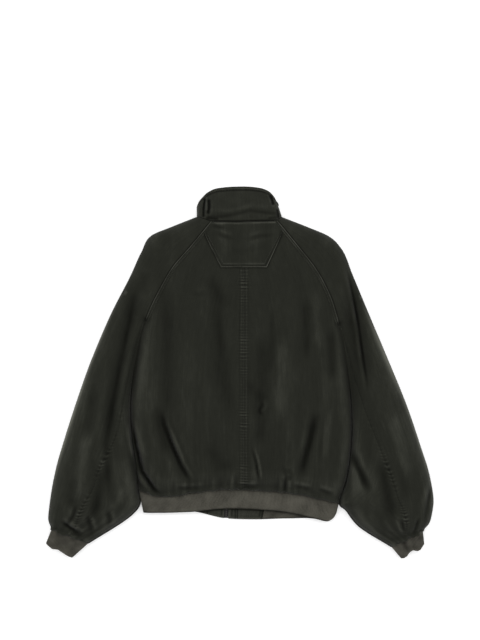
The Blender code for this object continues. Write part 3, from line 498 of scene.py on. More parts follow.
# Broad hollows and swells beside the largest folds
HOLLOWS = [Crease(*row) for row in (
    (((240, 200), (259, 62), (270, -60), (262, -130)), 19, -7.0, 0),
    (((-226, 110), (-240, 0), (-250, -80)), 12, -4.0, 0),
    (((254, -170), (270, -216), (298, -276)), 9, -8.0, 0),
    (((-246, -120), (-238, -200), (-226, -262)), 9, -6.0, 0),
    (((-194, -60), (-184, -130), (-158, -210)), 14, -4.4, 0),
    (((-74, 226), (-50, 184), (-26, 140)), 15, -2.6, 0),
    (((-284, -40), (-304, -160), (-294, -300)), 11, -4.5, 0),
    (((-330, -20), (-340, -100), (-356, -170)), 12, -3.0, 0),
    (((-372, -230), (-384, -280), (-380, -320)), 13, -3.5, 0),
    (((-212, 130), (-214, 0), (-200, -140)), 26, 2.6, 0),
    (((-122, 120), (-118, -40), (-90, -180)), 30, 1.8, 0),
    (((-84, -160), (-40, -212), (4, -214)), 18, -3.0, 0),
    (((36, -50), (48, -110), (44, -180)), 16, -5.0, 0),
    (((20, -10), (26, -40), (60, -70)), 14, -2.5, 0),
    (((190, 40), (196, -100), (186, -220)), 18, 1.6, 0),
    (((130, 60), (124, -80), (108, -210)), 18, 1.4, 0),
    (((300, 120), (336, -50), (356, -210)), 26, 1.8, 0),
    (((356, -190), (372, -250), (380, -310)), 12, -3.0, 0),
    (((-310, 150), (-352, 0), (-388, -150)), 18, 2.2, 0),
    (((-262, -250), (-276, -290), (-300, -326)), 14, 2.5, 0),
    (((-262, -60), (-268, -130), (-268, -200)), 10, 2.5, 0),
    (((-206, 236), (-216, 214), (-224, 170)), 12, -2.0, 0),
    (((72, 165), (75, 70), (70, -20)), 10, -2.4, 0),
)]
GENTLE, FINE = 7, 23  # seeds of the two scales of rumple


def waves(points, seed, longest, shortest, count=18):
    """Smooth unevenness between about -1 and 1: plane waves in directions from a seed."""
    draw = np.random.default_rng(seed)
    total = np.zeros(points.shape[:-1])
    for _ in range(count):
        angle, phase = draw.uniform(0, 2 * np.pi, 2)
        size = draw.uniform(shortest, longest)
        along = points[..., 0] * np.cos(angle) + points[..., 1] * np.sin(angle)
        total += np.sin(2 * np.pi * along / size + phase)
    return total / np.sqrt(count)


def beside(points, line):
    """Distance to a line, the side it lies on (+1 left of it), and how far along."""
    line = np.asarray(line, float)
    best = np.full(points.shape[:-1], 1e9)
    side, along, run_up = np.zeros(best.shape), np.zeros(best.shape), 0.0
    for start, end in zip(line[:-1], line[1:]):
        run = end - start
        length = np.hypot(*run)
        share = np.clip(((points - start) @ run) / length ** 2, 0, 1)
        off = points - start - share[..., None] * run
        gap = np.linalg.norm(off, axis=-1)
        closer = gap < best
        best = np.where(closer, gap, best)
        side = np.where(closer, np.sign(run[0] * off[..., 1] - run[1] * off[..., 0]), side)
        along = np.where(closer, run_up + share * length, along)
        run_up += length
    return best, side, along, run_up


def faded_ends(along, length, share=0.35):
    """1 along the middle of a line, dying away smoothly towards both ends."""
    reach = share * length
    start = np.sin(np.pi / 2 * np.clip(along / reach, 0, 1)) ** 2
    return start * np.sin(np.pi / 2 * np.clip((length - along) / reach, 0, 1)) ** 2


def crease_height(points):
    """Every crease and hollow: crisp ones have a lip, and uneven depth along them."""
    total = np.zeros(points.shape[:-1])
    for crease in CREASES + HOLLOWS:
        gap, side, along, length = beside(points, crease.line)
        crisp = (crease.lip != 0) * 0.2
        ends = faded_ends(along, length) * (1 + crisp * np.sin(along / 13 + crease.depth * 9))
        valley = bell(gap, crease.half_width)
        lip = bell(gap - 2.1 * crease.half_width, 1.3 * crease.half_width)
        lip = lip * (side * np.sign(crease.lip) > 0) * abs(crease.lip)
        total += crease.depth * ends * (valley - lip)
    return total


def fold_height(points):
    """The largest folds again, wider and with ends that die away."""
    total = np.zeros(points.shape[:-1])
    for fold in FOLDS:
        start, end = np.array(fold.line[0], float), np.array(fold.line[-1], float)
        onward = 0.12 * (end - start)
        line = [start - onward, *fold.line[1:-1], end + onward]
        gap, _, along, length = beside(points, line)
        wide = 1.25 * fold.half_width
        total += 1.05 * fold.height * faded_ends(along, length, 0.3) * bell(gap, wide)
    return total


middle_of_back = np.array([[CENTRE_BACK_X, 0.0]])
print("creases:", len(CREASES), "hollows:", len(HOLLOWS), "height of the back's middle:",
      np.round(back_z(middle_of_back), 1).tolist(), "mm")


# %% [markdown]
# Every topstitched seam is felled: one edge is folded under and sewn down with two
# rows, so the cloth is thicker on one side, drops at the seam itself and puckers along
# it, because the thread shrinks when the jacket is washed. This is what fades most. A
# seam could be a groove in the material alone, but then it would vanish from the side.

# %% Seams
Seam = namedtuple("Seam", "line lap start width rise pucker pitch fade")


def raglan_line(table):
    return sleeve_points(table, "inner", np.linspace(0, UNDERARM, 36))


YOKE_EDGES = [[(-79.5, 318), (-79.5, 313), (-42.6, YOKE_LOW_Y)],
              [(62.1, YOKE_LOW_Y), (96.5, 313), (96.5, 318)],
              [(-42.6, YOKE_LOW_Y), (62.1, YOKE_LOW_Y)]]
CENTRE_BACK = [(CENTRE_BACK_X, 240), (CENTRE_BACK_X, -268)]
SEAMS = {
    "raglan_left": Seam(raglan_line(LEFT_SLEEVE), 1, 0, 5.0, 0.8, 0.12, 6.5, 1.0),
    "raglan_right": Seam(raglan_line(RIGHT_SLEEVE), -1, 0, 5.0, 0.8, 0.12, 6.5, 1.1),
    "centre_back": Seam(CENTRE_BACK, 1, -6.0, 15.5, 0.35, 0.40, 6.3, 0.22),
}
SEAM_TURN = 1.7  # each seam's unevenness starts this much further on


def shrink_wave(along, seed=0.0, pitch=8.0):
    """Puckers a few millimetres long, never quite even."""
    uneven = 1.9 * np.sin(along / 17.0 + seed) + 1.1 * np.sin(along / 7.3 + 2 * seed)
    return np.sin(2 * np.pi * along / pitch + uneven)


def seam_offset(points, seam):
    """Distance from where the seam's fold starts, positive over the folded side."""
    gap, side, along, length = beside(points, seam.line)
    return gap * side * seam.lap - seam.start, along, along / length


def seam_height(points, seam, seed):
    """The fold stands up, the seam beside it is a groove, and both pucker."""
    off, along, share = seam_offset(points, seam)
    top = np.clip(off / 0.9, 0, 1) * (1 - ease((off - seam.width) / 1.6))
    groove = -1.1 * seam.rise * bell(off + 0.5, 1.0)
    spread = bell(off - seam.width / 2, 0.66 * seam.width)
    strength = 0.6 + 0.6 * np.sin(along / 31 + seed) ** 2
    ends = ease(share * 25) * ease((1 - share) * 25)
    return ends * (seam.rise * top + groove + seam.pucker * strength * spread
                   * shrink_wave(along, seed, seam.pitch))


def seam_wear_and_highlight(points, seam, seed):
    """Pale along both edges of the fold, partly fading and partly a painted highlight, and
    dark in the groove beside it.
    """
    off, along, share = seam_offset(points, seam)
    uneven = 0.75 + 0.35 * np.sin(along / 11 + seed) * np.sin(along / 29 + 3 * seed)
    uneven = uneven * between(1.0, 0.45, ease(share * 1.6))
    edges = bell(off - 1.2, 1.1) + 0.8 * bell(off - seam.width - 0.4, 1.1)
    ticks = 0.5 * bell(off - seam.width / 2, 0.6 * seam.width)
    ticks = ticks * shrink_wave(along, seed, seam.pitch) * (seam.pucker > 0.2)
    ticks = ticks * (0.18 + 0.95 * np.sin(along / 47 + 0.6) ** 2) * (1 + 0.3 * np.sin(along / 5.1))
    groove = 0.7 * seam.rise * bell(off + 1.2, 1.1)
    middle = 0.75 * seam.rise * bell(off - 0.62 * seam.width, 0.9)
    second = 0.5 * seam.rise * bell(off - seam.width - 2.4, 1.2)
    return seam.fade * uneven * edges + 0.95 * ticks - groove - middle - second


# A painted highlight where the light catches the sleeves' rolled outer edges: side, middle, reach,
# width, strength
Fade = namedtuple("Fade", "side y reach width strength")
EDGE_HIGHLIGHTS = [Fade(*row) for row in (
    (-1, -130, 120, 5.5, 1.4), (-1, 60, 90, 4.0, 0.8),
    (1, 45, 85, 8.0, 1.0), (1, -150, 130, 5.0, 0.9),
)]


def seam_wear_and_painted_light(points, back=True):
    """Wear and painted highlight along the seams, painted shade and light over the folds,
    and a painted highlight along the sleeves' outer edges.
    """
    total = np.zeros(points.shape[:-1])
    for index, (name, seam) in enumerate(SEAMS.items()):
        if back or name != "centre_back":
            total += seam_wear_and_highlight(points, seam, SEAM_TURN * index)
    # A painted highlight along the sleeves' outer edges
    depth = to_lines(points, OUTER_LINES)
    for fade in EDGE_HIGHLIGHTS:
        here = points[..., 0] * fade.side > 180  # on this sleeve
        here = here * bell(points[..., 1] - fade.y, fade.reach)
        total += fade.strength * here * bell(depth - 0.5 * fade.width, 0.7 * fade.width)
    if not back:
        return total
    # Painted shade in the valleys of the folds and creases, and painted light on their ridges
    return total + np.clip(0.036 * (fold_height(points) + crease_height(points)), -0.36, 0.2)


def upper_relief(points):
    """What creases, seams and rumples add to the upper sheet."""
    total, edge = crease_height(points), from_silhouette(points)
    for index, seam in enumerate(SEAMS.values()):
        total = total + seam_height(points, seam, SEAM_TURN * index)
    upright = points * (1.0, 0.36)  # rumples run down the cloth more than across it
    rumple = 1.05 * waves(upright, GENTLE, 95, 38) + 0.13 * waves(upright, FINE, 22, 10, 30)
    return total * ease(edge / 6) + rumple * ease(edge / 16)


def lower_relief(points):
    """The lower sheet carries the weight, so its rumples only rise off the surface."""
    inside = ease((from_silhouette(points) - UNDER_RUN) / 20)
    return (0.5 + 0.5 * np.clip(waves(points, GENTLE + 1, 90, 30), -1, 1)) * 0.9 * inside


# %% [markdown]
# A piece of cloth is a grid of points. Along its seams the rows and columns lie close
# together, for the stitches' puckers, and further apart in the middle. Each point also
# keeps a value of wear and painted light: ridges are painted paler, partly as rubbing
# and partly as light that catches them, and hollows darker as painted shade, both from
# the height above the cloth round it. UVs are metres of cloth, so the weave keeps one
# scale on every piece.

# %% Grids, lines, wear and painted light
def run_along(line):
    """Distance along a line of points, from its first one."""
    return np.cumsum(np.linalg.norm(np.diff(line, axis=0, prepend=line[:1]), axis=1))


def points_at(line, run, at):
    """The points of a line at some of the distances along it."""
    return np.stack([np.interp(at, run, values) for values in line.T], axis=1)


def evenly(line, step=1.1):
    run = run_along(line)
    return points_at(line, run, np.arange(0, run[-1], step))


def even_grid(grid, step):
    """Resamples every row of a coarse grid evenly, at about the given step."""
    count = int(np.linalg.norm(np.diff(grid[len(grid) // 2], axis=0), axis=1).sum() / step)
    rows = []
    for line in grid:
        run = run_along(line)
        rows.append(points_at(line, run, np.linspace(0, run[-1], count)))
    return np.array(rows)


def fine_shares(length, step=3.2, near=(0, 0.7, 1.6, 3, 5, 7.5, 10.5)):
    """Shares along an edge: even in the middle, closer together at both seams."""
    near = np.array(near)
    count = max(3, round((length - 2 * near[-1]) / step))
    middle = np.linspace(near[-1], length - near[-1], count + 1)[1:-1]
    return np.concatenate([near, middle, length - near[::-1]]) / length


def blurred(values, reach):
    """The mean over a square of cells round each one."""
    for axis in (0, 1):
        pad = [(0, 0), (0, 0)]
        pad[axis] = (reach + 1, reach)
        total = np.cumsum(np.pad(values, pad, mode="edge"), axis=axis)
        size = values.shape[axis]
        high = np.take(total, range(2 * reach + 1, 2 * reach + 1 + size), axis=axis)
        values = (high - np.take(total, range(size), axis=axis)) / (2 * reach + 1)
    return values


def ridge_wear_and_hollow_shade(height):
    """Positive on ridges, negative in hollows, at a fine and a coarse scale. The pale
    ridges are partly rubbing and partly painted light; the dark hollows are painted shade.
    """
    fine_scale, coarse = height - blurred(height, 2), height - blurred(height, 7)
    return np.clip(0.22 * fine_scale + 0.045 * coarse, -0.4, 0.4)


def cloth_uv(points):
    """Metres of cloth across and along, from the middle column of the first row."""
    across = np.linalg.norm(np.diff(points, axis=1, append=points[:, :1]), axis=-1)
    along = np.linalg.norm(np.diff(points, axis=0, prepend=points[:1]), axis=-1)
    u = np.concatenate([np.zeros((len(points), 1)), np.cumsum(across, axis=1)], axis=1)
    u = u - u[:, points.shape[1] // 2][:, None]
    v = np.cumsum(along.mean(axis=1))[:, None] * np.ones_like(u)
    return np.stack([u, -v], axis=-1) * MM


def flat_cut(points, ring=False):
    """The widest row and the longest column of a grid, in metres."""
    closed = np.concatenate([points, points[:, :1]], axis=1) if ring else points
    return [np.linalg.norm(np.diff(closed, axis=axis), axis=-1).sum(axis).max() * MM
            for axis in (1, 0)]


print("a 240 mm wide panel has", len(fine_shares(240.0)), "columns")

# %% [markdown]
# The mesh of a piece has the grid on its outer face, a second grid one thickness below
# and a rim between the two. A Solidify modifier would do the same, but the rim made
# here keeps its own UVs, and the two faces can carry different wear and painted light.

# %% A wall of cloth
pieces, cuts = {}, {}  # by node: each piece of cloth, and its flat cut


def quads(rows, columns, ring):
    """Faces of both grids and their rim, and the row and column of every corner."""
    spans = columns if ring else columns - 1
    row, col = (index.ravel() for index in np.mgrid[0:rows - 1, 0:spans])
    corner_rows = np.stack([row, row, row + 1, row + 1], axis=1)
    corner_cols = np.stack([col, col + 1, col + 1, col], axis=1)
    top = corner_rows * columns + corner_cols % columns
    faces = [top, top[:, ::-1] + rows * columns]
    corners = [(corner_rows, corner_cols), (corner_rows[:, ::-1], corner_cols[:, ::-1])]

    def rim(here, there, at, cells, turn, along_row):
        wall = np.stack([here, here + rows * columns, there + rows * columns, there], axis=1)
        cells = np.stack([cells, cells, cells + 1, cells + 1], axis=1)[:, ::turn]
        fixed = np.full_like(cells, at)
        faces.append(wall[:, ::turn])
        corners.append((fixed, cells) if along_row else (cells, fixed))

    edge = np.arange(spans)
    for at, turn in ((0, 1), (rows - 1, -1)):
        rim(at * columns + edge, at * columns + (edge + 1) % columns, at, edge, turn, True)
    if not ring:
        edge = np.arange(rows - 1)
        for at, turn in ((0, -1), (columns - 1, 1)):
            rim(edge * columns + at, (edge + 1) * columns + at, at, edge, turn, False)
    return np.concatenate(faces), corners


def add_piece(name, mesh, finish):
    """An object with one finish that rides on the jacket."""
    mesh.materials.append(finish)
    made = bpy.data.objects.new(name, mesh)
    scene.collection.objects.link(made)
    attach(made, "jacket")
    return made


def cloth(name, points, normals, thickness, finish, wear_and_painted_light=None, ring=False,
          inner_wear_and_light=0.3):
    """A wall of cloth that takes the place of the solid with the same name."""
    rows, columns = points.shape[:2]
    faces, corners = quads(rows, columns, ring)
    inner = points - normals * thickness
    vertices = np.concatenate([points.reshape(-1, 3), inner.reshape(-1, 3)]) * MM
    mesh = bpy.data.meshes.new(name)
    mesh.from_pydata(vertices.tolist(), [], faces.tolist())
    uv = cloth_uv(points)
    uv = np.concatenate([uv[row, column].reshape(-1, 2) for row, column in corners])
    mesh.uv_layers.new(name="cloth").data.foreach_set("uv", uv.ravel())
    if wear_and_painted_light is None:
        wear_and_painted_light = np.zeros((rows, columns))
    both = np.concatenate([wear_and_painted_light.ravel(), inner_wear_and_light * wear_and_painted_light.ravel()])
    mesh.attributes.new("wear_and_painted_light", "FLOAT", "POINT").data.foreach_set("value", both)
    mesh.shade_smooth()
    shape = bmesh.new()
    shape.from_mesh(mesh)
    if shape.calc_volume(signed=True) < 0:
        bmesh.ops.reverse_faces(shape, faces=shape.faces)
    shape.to_mesh(mesh)
    shape.free()
    mesh.set_sharp_from_angle(angle=1.1)
    pieces[name] = add_piece(name, mesh, finish)
    cuts[name] = flat_cut(points, ring)
    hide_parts(name)
    print(name, "has", len(faces), "faces")


# %% [markdown]
# The finishes are written as sums. A value in a shader is a socket, and this class
# gives it + - * / so that a finish reads like the sentence that describes it. Wiring
# the same Math nodes by hand gives the same picture, but hides the idea.

# %% Shader sums
class Value:
    """A shader socket that sums can be written with."""

    def __init__(self, shader, socket):
        self.shader, self.socket = shader, socket

    def sum(self, operation, other, swap=False):
        pair = [other, self] if swap else [self, other]
        return self.shader.node("Math", pair, operation=operation)

    def __add__(self, other):
        return self.sum("ADD", other)

    def __radd__(self, other):
        return self.sum("ADD", other, True)

    def __sub__(self, other):
        return self.sum("SUBTRACT", other)

    def __rsub__(self, other):
        return self.sum("SUBTRACT", other, True)

    def __mul__(self, other):
        return self.sum("MULTIPLY", other)

    def __rmul__(self, other):
        return self.sum("MULTIPLY", other, True)

    def __truediv__(self, other):
        return self.sum("DIVIDE", other)

    def sine(self):
        return self.shader.node("Math", [self], operation="SINE")

    def wave(self):
        """The sine, moved to run between 0 and 1."""
        return (self.sine() + 1) / 2

    def held(self):
        """Held between 0 and 1."""
        return self.shader.node("Math", [self, 0], operation="ADD", use_clamp=True)


class Finish:
    """A material and the nodes that are added to it."""

    def __init__(self, name, roughness=0.85, metallic=0.0, sheen=0.0, specular=0.3):
        self.material = bpy.data.materials.new(name)
        self.material.use_nodes = True
        self.tree = self.material.node_tree
        self.surface = self.tree.nodes["Principled BSDF"]
        for socket, value in (("Roughness", roughness), ("Metallic", metallic),
                              ("Sheen Weight", sheen), ("Sheen Roughness", 0.45),
                              ("Specular IOR Level", specular)):
            self.surface.inputs[socket].default_value = value

    def node(self, kind, inputs=(), output=0, stops=None, **settings):
        made = self.tree.nodes.new("ShaderNode" + kind)
        for name, setting in settings.items():
            setattr(made, name, setting)
        if stops:
            ramp = made.color_ramp
            while len(ramp.elements) < len(stops):
                ramp.elements.new(1)
            for element, (place, colour) in zip(ramp.elements, stops):
                element.position, element.color = place, colour
        pairs = inputs.items() if isinstance(inputs, dict) else enumerate(inputs)
        for key, value in pairs:
            self.feed(made.inputs[key], value)
        return Value(self, made.outputs[output])

    def feed(self, socket, value):
        if isinstance(value, Value):
            self.tree.links.new(value.socket, socket)
        else:
            socket.default_value = value

    def noise(self, where, scale, detail=3.0, roughness=0.55):
        return self.node("TexNoise", {"Vector": where, "Scale": scale, "Detail": detail,
                                      "Roughness": roughness})

    def stretched(self, where, scale, detail):
        """Noise with its own scale across, along and through."""
        mapped = self.node("Mapping", {"Vector": where, "Scale": scale})
        return self.noise(mapped, 1.0, detail)

    def cloth_place(self):
        """Where a point is on the cloth, and its two parts across and along the warp."""
        place = self.node("UVMap", uv_map="cloth")
        across = self.node("SeparateXYZ", [place])
        return place, across, Value(self, across.socket.node.outputs[1])

    # The attribute holds the cloth's wear together with the light and shade painted into it
    def wear_and_painted_light(self):
        return self.node("Attribute", output=2, attribute_name="wear_and_painted_light")

    def colours(self, amount, stops):
        return self.node("ValToRGB", [amount], stops=[(at, (*rgb, 1)) for at, rgb in stops])

    def bump(self, height, distance, strength):
        normal = self.node("Bump", {"Height": height, "Distance": distance,
                                    "Strength": strength})
        self.feed(self.surface.inputs["Normal"], normal)

    def finish(self, amount, stops):
        """Colours the surface along a ramp, and says how many nodes the finish has."""
        self.feed(self.surface.inputs["Base Color"], self.colours(amount, stops))
        print(self.material.name, "has", len(self.tree.nodes), "nodes")
        return self.material


# %% [markdown]
# Black denim is a twill: black warp threads lie over a paler weft, so its face is
# covered in fine slanted lines. Washing rubs the dye off the tops of the threads and
# off every ridge, and leaves streaks along the warp where a thread was thicker. A photo
# of denim could be wrapped round the jacket, but sums keep the weave sharp close up.

# %% Denim
def denim(name, dark, middle, pale, wear_and_light_share=0.5):
    made = Finish(name, roughness=0.92, sheen=0.12, specular=0.06)
    place, across, along = made.cloth_place()
    twill = (across * 2600 + along * 4300).wave()
    weft = (along * 7800).wave()
    slubs = made.stretched(place, (900, 38, 1), 4)
    streaks = made.stretched(place, (230, 4.5, 1), 3)
    specks = made.stretched(place, (620, 420, 1), 2)
    mottle = made.noise(place, 60.0, 5, 0.6)
    clouds = made.noise(place, 9.0, 3)
    # The last term adds the attribute's wear and its painted light and shade
    faded = (0.36 + (slubs - 0.5) * 0.20 + (streaks - 0.5) * 0.15
             + (specks - 0.5) * 0.20 + (mottle - 0.5) * 0.08 + (clouds - 0.5) * 0.16
             + (twill - 0.5) * 0.10 + made.wear_and_painted_light() * wear_and_light_share).held()
    height = twill * 0.55 + weft * 0.2 + slubs * 0.5 + streaks * 0.5 + mottle * 0.3
    made.bump(height, 0.00035, 0.8)
    return made.finish(faded, [(0.0, dark), (0.42, middle), (1.0, pale)])


washed = denim("washed_black_denim", (0.0050, 0.0053, 0.0036), (0.0192, 0.0202, 0.0152),
               (0.094, 0.096, 0.078))
inside_face = denim("denim_inside_face", (0.010, 0.010, 0.0085), (0.034, 0.0345, 0.030),
                    (0.15, 0.15, 0.13), 0.3)

# %% [markdown]
# The rib is a 1 x 1 knit in charcoal yarn. Its ribs are real ridges in the mesh; the
# yarn's loops, a row of small V shapes along each rib, are only bump and colour, since
# they are finer than the mesh. Tape and thread are plain weaves with a chevron, and the
# zip's metal is dark, with scratches along it and a tarnish that dulls it in patches.

# %% Rib, tape, metal and thread
def rib_knit(name, dark, pale):
    made = Finish(name, roughness=0.95, sheen=0.12, specular=0.12)
    place, across, along = made.cloth_place()
    loops = (along * 3100 + (across * 2094).sine() * 1.6).wave()
    fuzz = made.stretched(place, (700, 500, 1), 3)
    patches = made.noise(place, 26.0, 4)
    faded = (0.34 + (fuzz - 0.5) * 0.6 + (patches - 0.5) * 0.60 + (loops - 0.5) * 0.15
             + made.wear_and_painted_light() * 0.55).held()
    made.bump(loops * 0.7 + fuzz * 0.6, 0.0004, 0.8)
    return made.finish(faded, [(0.0, dark), (1.0, pale)])


def plain_weave(name, colour):
    made = Finish(name, roughness=0.85, sheen=0.1)
    place, across, along = made.cloth_place()
    chevron = (along * 5200 + (across * 4200).sine() * 2.2).wave()
    fuzz = made.stretched(place, (800, 800, 1), 3)
    made.bump(chevron + fuzz * 0.4, 0.0003, 0.7)
    pale = tuple(3.2 * part for part in colour)
    return made.finish((chevron * 0.4 + fuzz * 0.6).held(), [(0.0, colour), (1.0, pale)])


def worn_metal(name, colour, shine):
    made = Finish(name, roughness=0.35, metallic=1.0, specular=0.5)
    place = made.node("TexCoord", output=3)
    scratches = made.stretched(place, (900, 90, 900), 4)
    tarnish = made.noise(place, 420.0, 4)
    made.feed(made.surface.inputs["Roughness"], (0.26 + tarnish * 0.3).held())
    made.bump(scratches, 0.00008, 0.6)
    shade = (tarnish * 0.7 + scratches * 0.3).held()
    return made.finish(shade, [(0.25, colour), (0.75, shine)])


ribbed = rib_knit("charcoal_rib", (0.016, 0.0152, 0.0118), (0.165, 0.157, 0.128))
tape_cloth = plain_weave("zip_tape_weave", (0.008, 0.008, 0.008))
dark_metal = worn_metal("dark_zip_metal", (0.035, 0.034, 0.031), (0.15, 0.14, 0.13))
thread = plain_weave("topstitch_thread", (0.026, 0.026, 0.021))
pale_floor = Finish("pale_floor", roughness=0.95, specular=0.1)
pale_floor.surface.inputs["Emission Color"].default_value = (1, 1, 1, 1)
pale_floor.surface.inputs["Emission Strength"].default_value = 0.35
floor_clouds = pale_floor.noise(pale_floor.node("TexCoord", output=3), 3.0)
floor.data.materials.append(
    pale_floor.finish(floor_clouds, [(0.0, (0.90, 0.90, 0.90)), (1.0, (0.94, 0.94, 0.94))]))

# %% [markdown]
# A back or a front half is one panel between four edges: the raglan and side seam,
# the centre back seam or the zip, the neck and the waistband. Its plan is spread
# evenly between the four, as a Coons patch, and its height is read from the sheet. The
# cloth of the back sags a little over the waistband, and is uneven there.

# %% The back and the fronts
HALF_BODY = 238.0  # about the width of one half, for the spacing of its columns


def side_gap(stations):
    """Beside the body each sleeve tucks a little way under it."""
    tuck = between(GAP, -0.5, ease((stations - UNDERARM + 0.035) / 0.03))
    return (tuck - 1.1 * bell(stations - UNDERARM, 0.02)
            - 2.5 * bell(stations - 0.99, 0.03))


def sag(above):
    """How much of its slack the cloth shows at a height above its gathers, 0 to 1."""
    return bell(above - 5.5, 5) * ease(above / 3)


def neck_y(name, x):
    return np.interp(x, column(NECK, "seam_x"), column(NECK, name))


def back_surface(plan):
    """The upper sheet with its creases and seams, as points. Gathers hang over the band."""
    above, edge = above_band(plan, "back"), from_silhouette(plan)
    height = back_z(plan) + upper_relief(plan) * ease((above + 2) / 14)
    droop = sag(above)
    uneven = waves(plan * (1.0, 0.1), seed=41, longest=40, shortest=14)
    swell = gathers(BACK_GATHERS, plan[..., 0], np.abs(above - 6)) * (0.45 + 0.35 * uneven)
    height = height - (0.4 - 0.3 * uneven) * gathers(BACK_GATHERS, plan[..., 0], above)
    height = height + 1.1 * uneven * bell(above - 16, 14) - 0.75 * swell * ease(above / 6)
    height = height + droop * (2.4 + 0.55 * swell) * quarter_round(edge / 12)
    hang = droop * (3.4 + 1.1 * swell + 1.9 * uneven) * quarter_round(edge / 9)
    return with_height(plan - hang[..., None] * (0.0, 1.0), height)


def front_surface(plan):
    return with_height(plan, front_z(plan) + lower_relief(plan))


def cloth_normals(points, facing):
    """Unit normals of a grid, turned so that its middle faces up (1) or down (-1)."""
    normals = unit(np.cross(np.gradient(points, axis=1), np.gradient(points, axis=0)))
    middle = normals[len(points) // 2, points.shape[1] // 2, 2]
    return normals * np.sign(middle) * facing


def body_plan(table, inward, back):
    """Where the grid of a half lies, and the station of each of its rows."""
    stations = fine_shares(BODY_LENGTH)
    columns = fine_shares(HALF_BODY)
    side = sleeve_points(table, "inner", stations)
    side[:, 0] += inward * side_gap(stations)
    name, seam = ("back_y", "back_seam") if back else ("front_y", "front_seam")
    if back:
        centre_x = np.full(len(stations), CENTRE_BACK_X - inward * GAP)
        heights = between(neck_y(name, CENTRE_BACK_X),
                          hem_y(seam, hem_share(CENTRE_BACK_X, SEAM_ENDS)), stations)
    else:
        end_x = zip_x(FRONT_LOW_Y) - inward * ZIP_HALF_GAP
        heights = between(neck_y(name, zip_x(FRONT_TOP_Y)),
                          hem_y(seam, hem_share(end_x, SEAM_ENDS)) + 0.3, stations)
        centre_x = zip_x(heights) - inward * ZIP_HALF_GAP
        side[:, 1] += (neck_y(name, side[0, 0]) - side[0, 1]) * (1 - ease(stations / 0.1))
    centre = np.stack([centre_x, heights], axis=1)
    top_x = between(side[0, 0], centre_x[0], columns)
    top = np.stack([top_x, neck_y(name, top_x)], axis=1)
    low_x = between(side[-1, 0], centre_x[-1], columns)
    bottom = np.stack([low_x, hem_y(seam, hem_share(low_x, SEAM_ENDS)) + 0.3], axis=1)
    side[0], side[-1] = top[0], bottom[0]
    centre[0], centre[-1] = top[-1], bottom[-1]
    v, c = stations[:, None, None], columns[None, :, None]
    ruled = between(side[:, None], centre[:, None], c)
    lofted = between(top[None], bottom[None], v)
    corners = between(between(side[0], centre[0], c), between(side[-1], centre[-1], c), v)
    return ruled + lofted - corners, stations


def body_half(name, table, inward, back):
    plan, stations = body_plan(table, inward, back)
    edge, facing = from_silhouette(plan), 1 if back else -1
    points = back_surface(plan) if back else front_surface(plan)
    if not back:
        points[..., 2] -= UNDER_TUCK * (1 - ease(edge / UNDER_RUN))
    normals = cloth_normals(points, facing)
    normals[stations > UNDERARM - 0.01, 0] = (-inward, 0, 0)  # the fold beside the sleeve
    wear_and_painted_light = ridge_wear_and_hollow_shade(points[..., 2] * facing)
    if back:
        wear_and_painted_light = wear_and_painted_light * (0.35 + 0.65 * ease(above_band(plan, "back") / 45))
    # Along the fold beside the sleeves the body is painted darker, as shade in the valley
    wear_and_painted_light = wear_and_painted_light + seam_wear_and_painted_light(plan, back) - 0.15 * bell(edge, 5)
    if back:
        # A painted shadow on the back along the yoke's edges
        wear_and_painted_light = wear_and_painted_light - 0.55 * bell(to_lines(plan, YOKE_EDGES), 2.4)
    cloth(name, points, normals, DENIM, washed, wear_and_painted_light)


for half, back in (("back_", True), ("front_", False)):
    for side, table, inward in SIDES:
        body_half(half + side, table, inward, back)

# %% [markdown]
# A second layer of denim is sewn over the back below the collar. It reads the same
# height as the back, one thickness higher, so it follows every fold below it. Shrinkwrap
# could press it down as well, but would lose the puckers along its stitches.

# %% The neck yoke
YOKE_HEIGHT, YOKE_WIDTH = 104.0, 150.0  # about, for the spacing of its grid


def yoke_plan():
    rows, columns = fine_shares(YOKE_HEIGHT), fine_shares(YOKE_WIDTH)
    left = np.interp(rows, column(YOKE, "share"), column(YOKE, "left_x"))
    right = np.interp(rows, column(YOKE, "share"), column(YOKE, "right_x"))
    x = between(left[:, None], right[:, None], columns[None, :])
    y = between(neck_y("back_y", x) - 0.5, YOKE_LOW_Y, rows[:, None])
    return np.stack([x, y], axis=-1)


def yoke_gaps(plan):
    """Distances to the three free edges, how far along each, and below the neck seam."""
    edges = [beside(plan, line) for line in YOKE_EDGES]
    below_neck = neck_y("back_y", plan[..., 0]) - plan[..., 1]
    return np.array([edge[0] for edge in edges]), [edge[2] for edge in edges], below_neck


def yoke_surface(plan):
    points = back_surface(plan)
    gaps, alongs, neck = yoke_gaps(plan)
    gap, along = gaps.min(axis=0), np.choose(gaps.argmin(axis=0), alongs)
    lift = 1.75 - 0.9 * bell(gap, 1.0)
    band = bell(gap - 4, 5)
    points[..., 2] += lift + 0.14 * band * shrink_wave(along, 4.1, 7) - 1.8 * bell(neck, 2)
    return points


def yoke_wear(plan):
    """Both rows of stitches and the edges rub pale; the neck seam has one row."""
    gaps, _, neck = yoke_gaps(plan)
    gap, along = gaps.min(axis=0), plan[..., 0] - plan[..., 1]
    uneven = 0.75 + 0.4 * np.sin(along / 9) * np.sin(along / 23) + 0.002 * plan[..., 0]
    edge = 0.9 * bell(gap - 0.6, 1.1) - 0.7 * bell(gap - 3.6, 1.1)
    edge = edge + 0.85 * bell(gap - 8.6, 1.4) * (gap == gaps[2])
    row = bell(neck - 4.2, 1.3) - 1.2 * bell(neck, 1.8)
    return 0.85 * uneven * edge + 0.75 * uneven * row


yoke_at = yoke_plan()
yoke_points = yoke_surface(yoke_at)
cloth("neck_yoke", yoke_points, cloth_normals(yoke_points, 1), DENIM, washed,
      ridge_wear_and_hollow_shade(yoke_points[..., 2]) + yoke_wear(yoke_at))

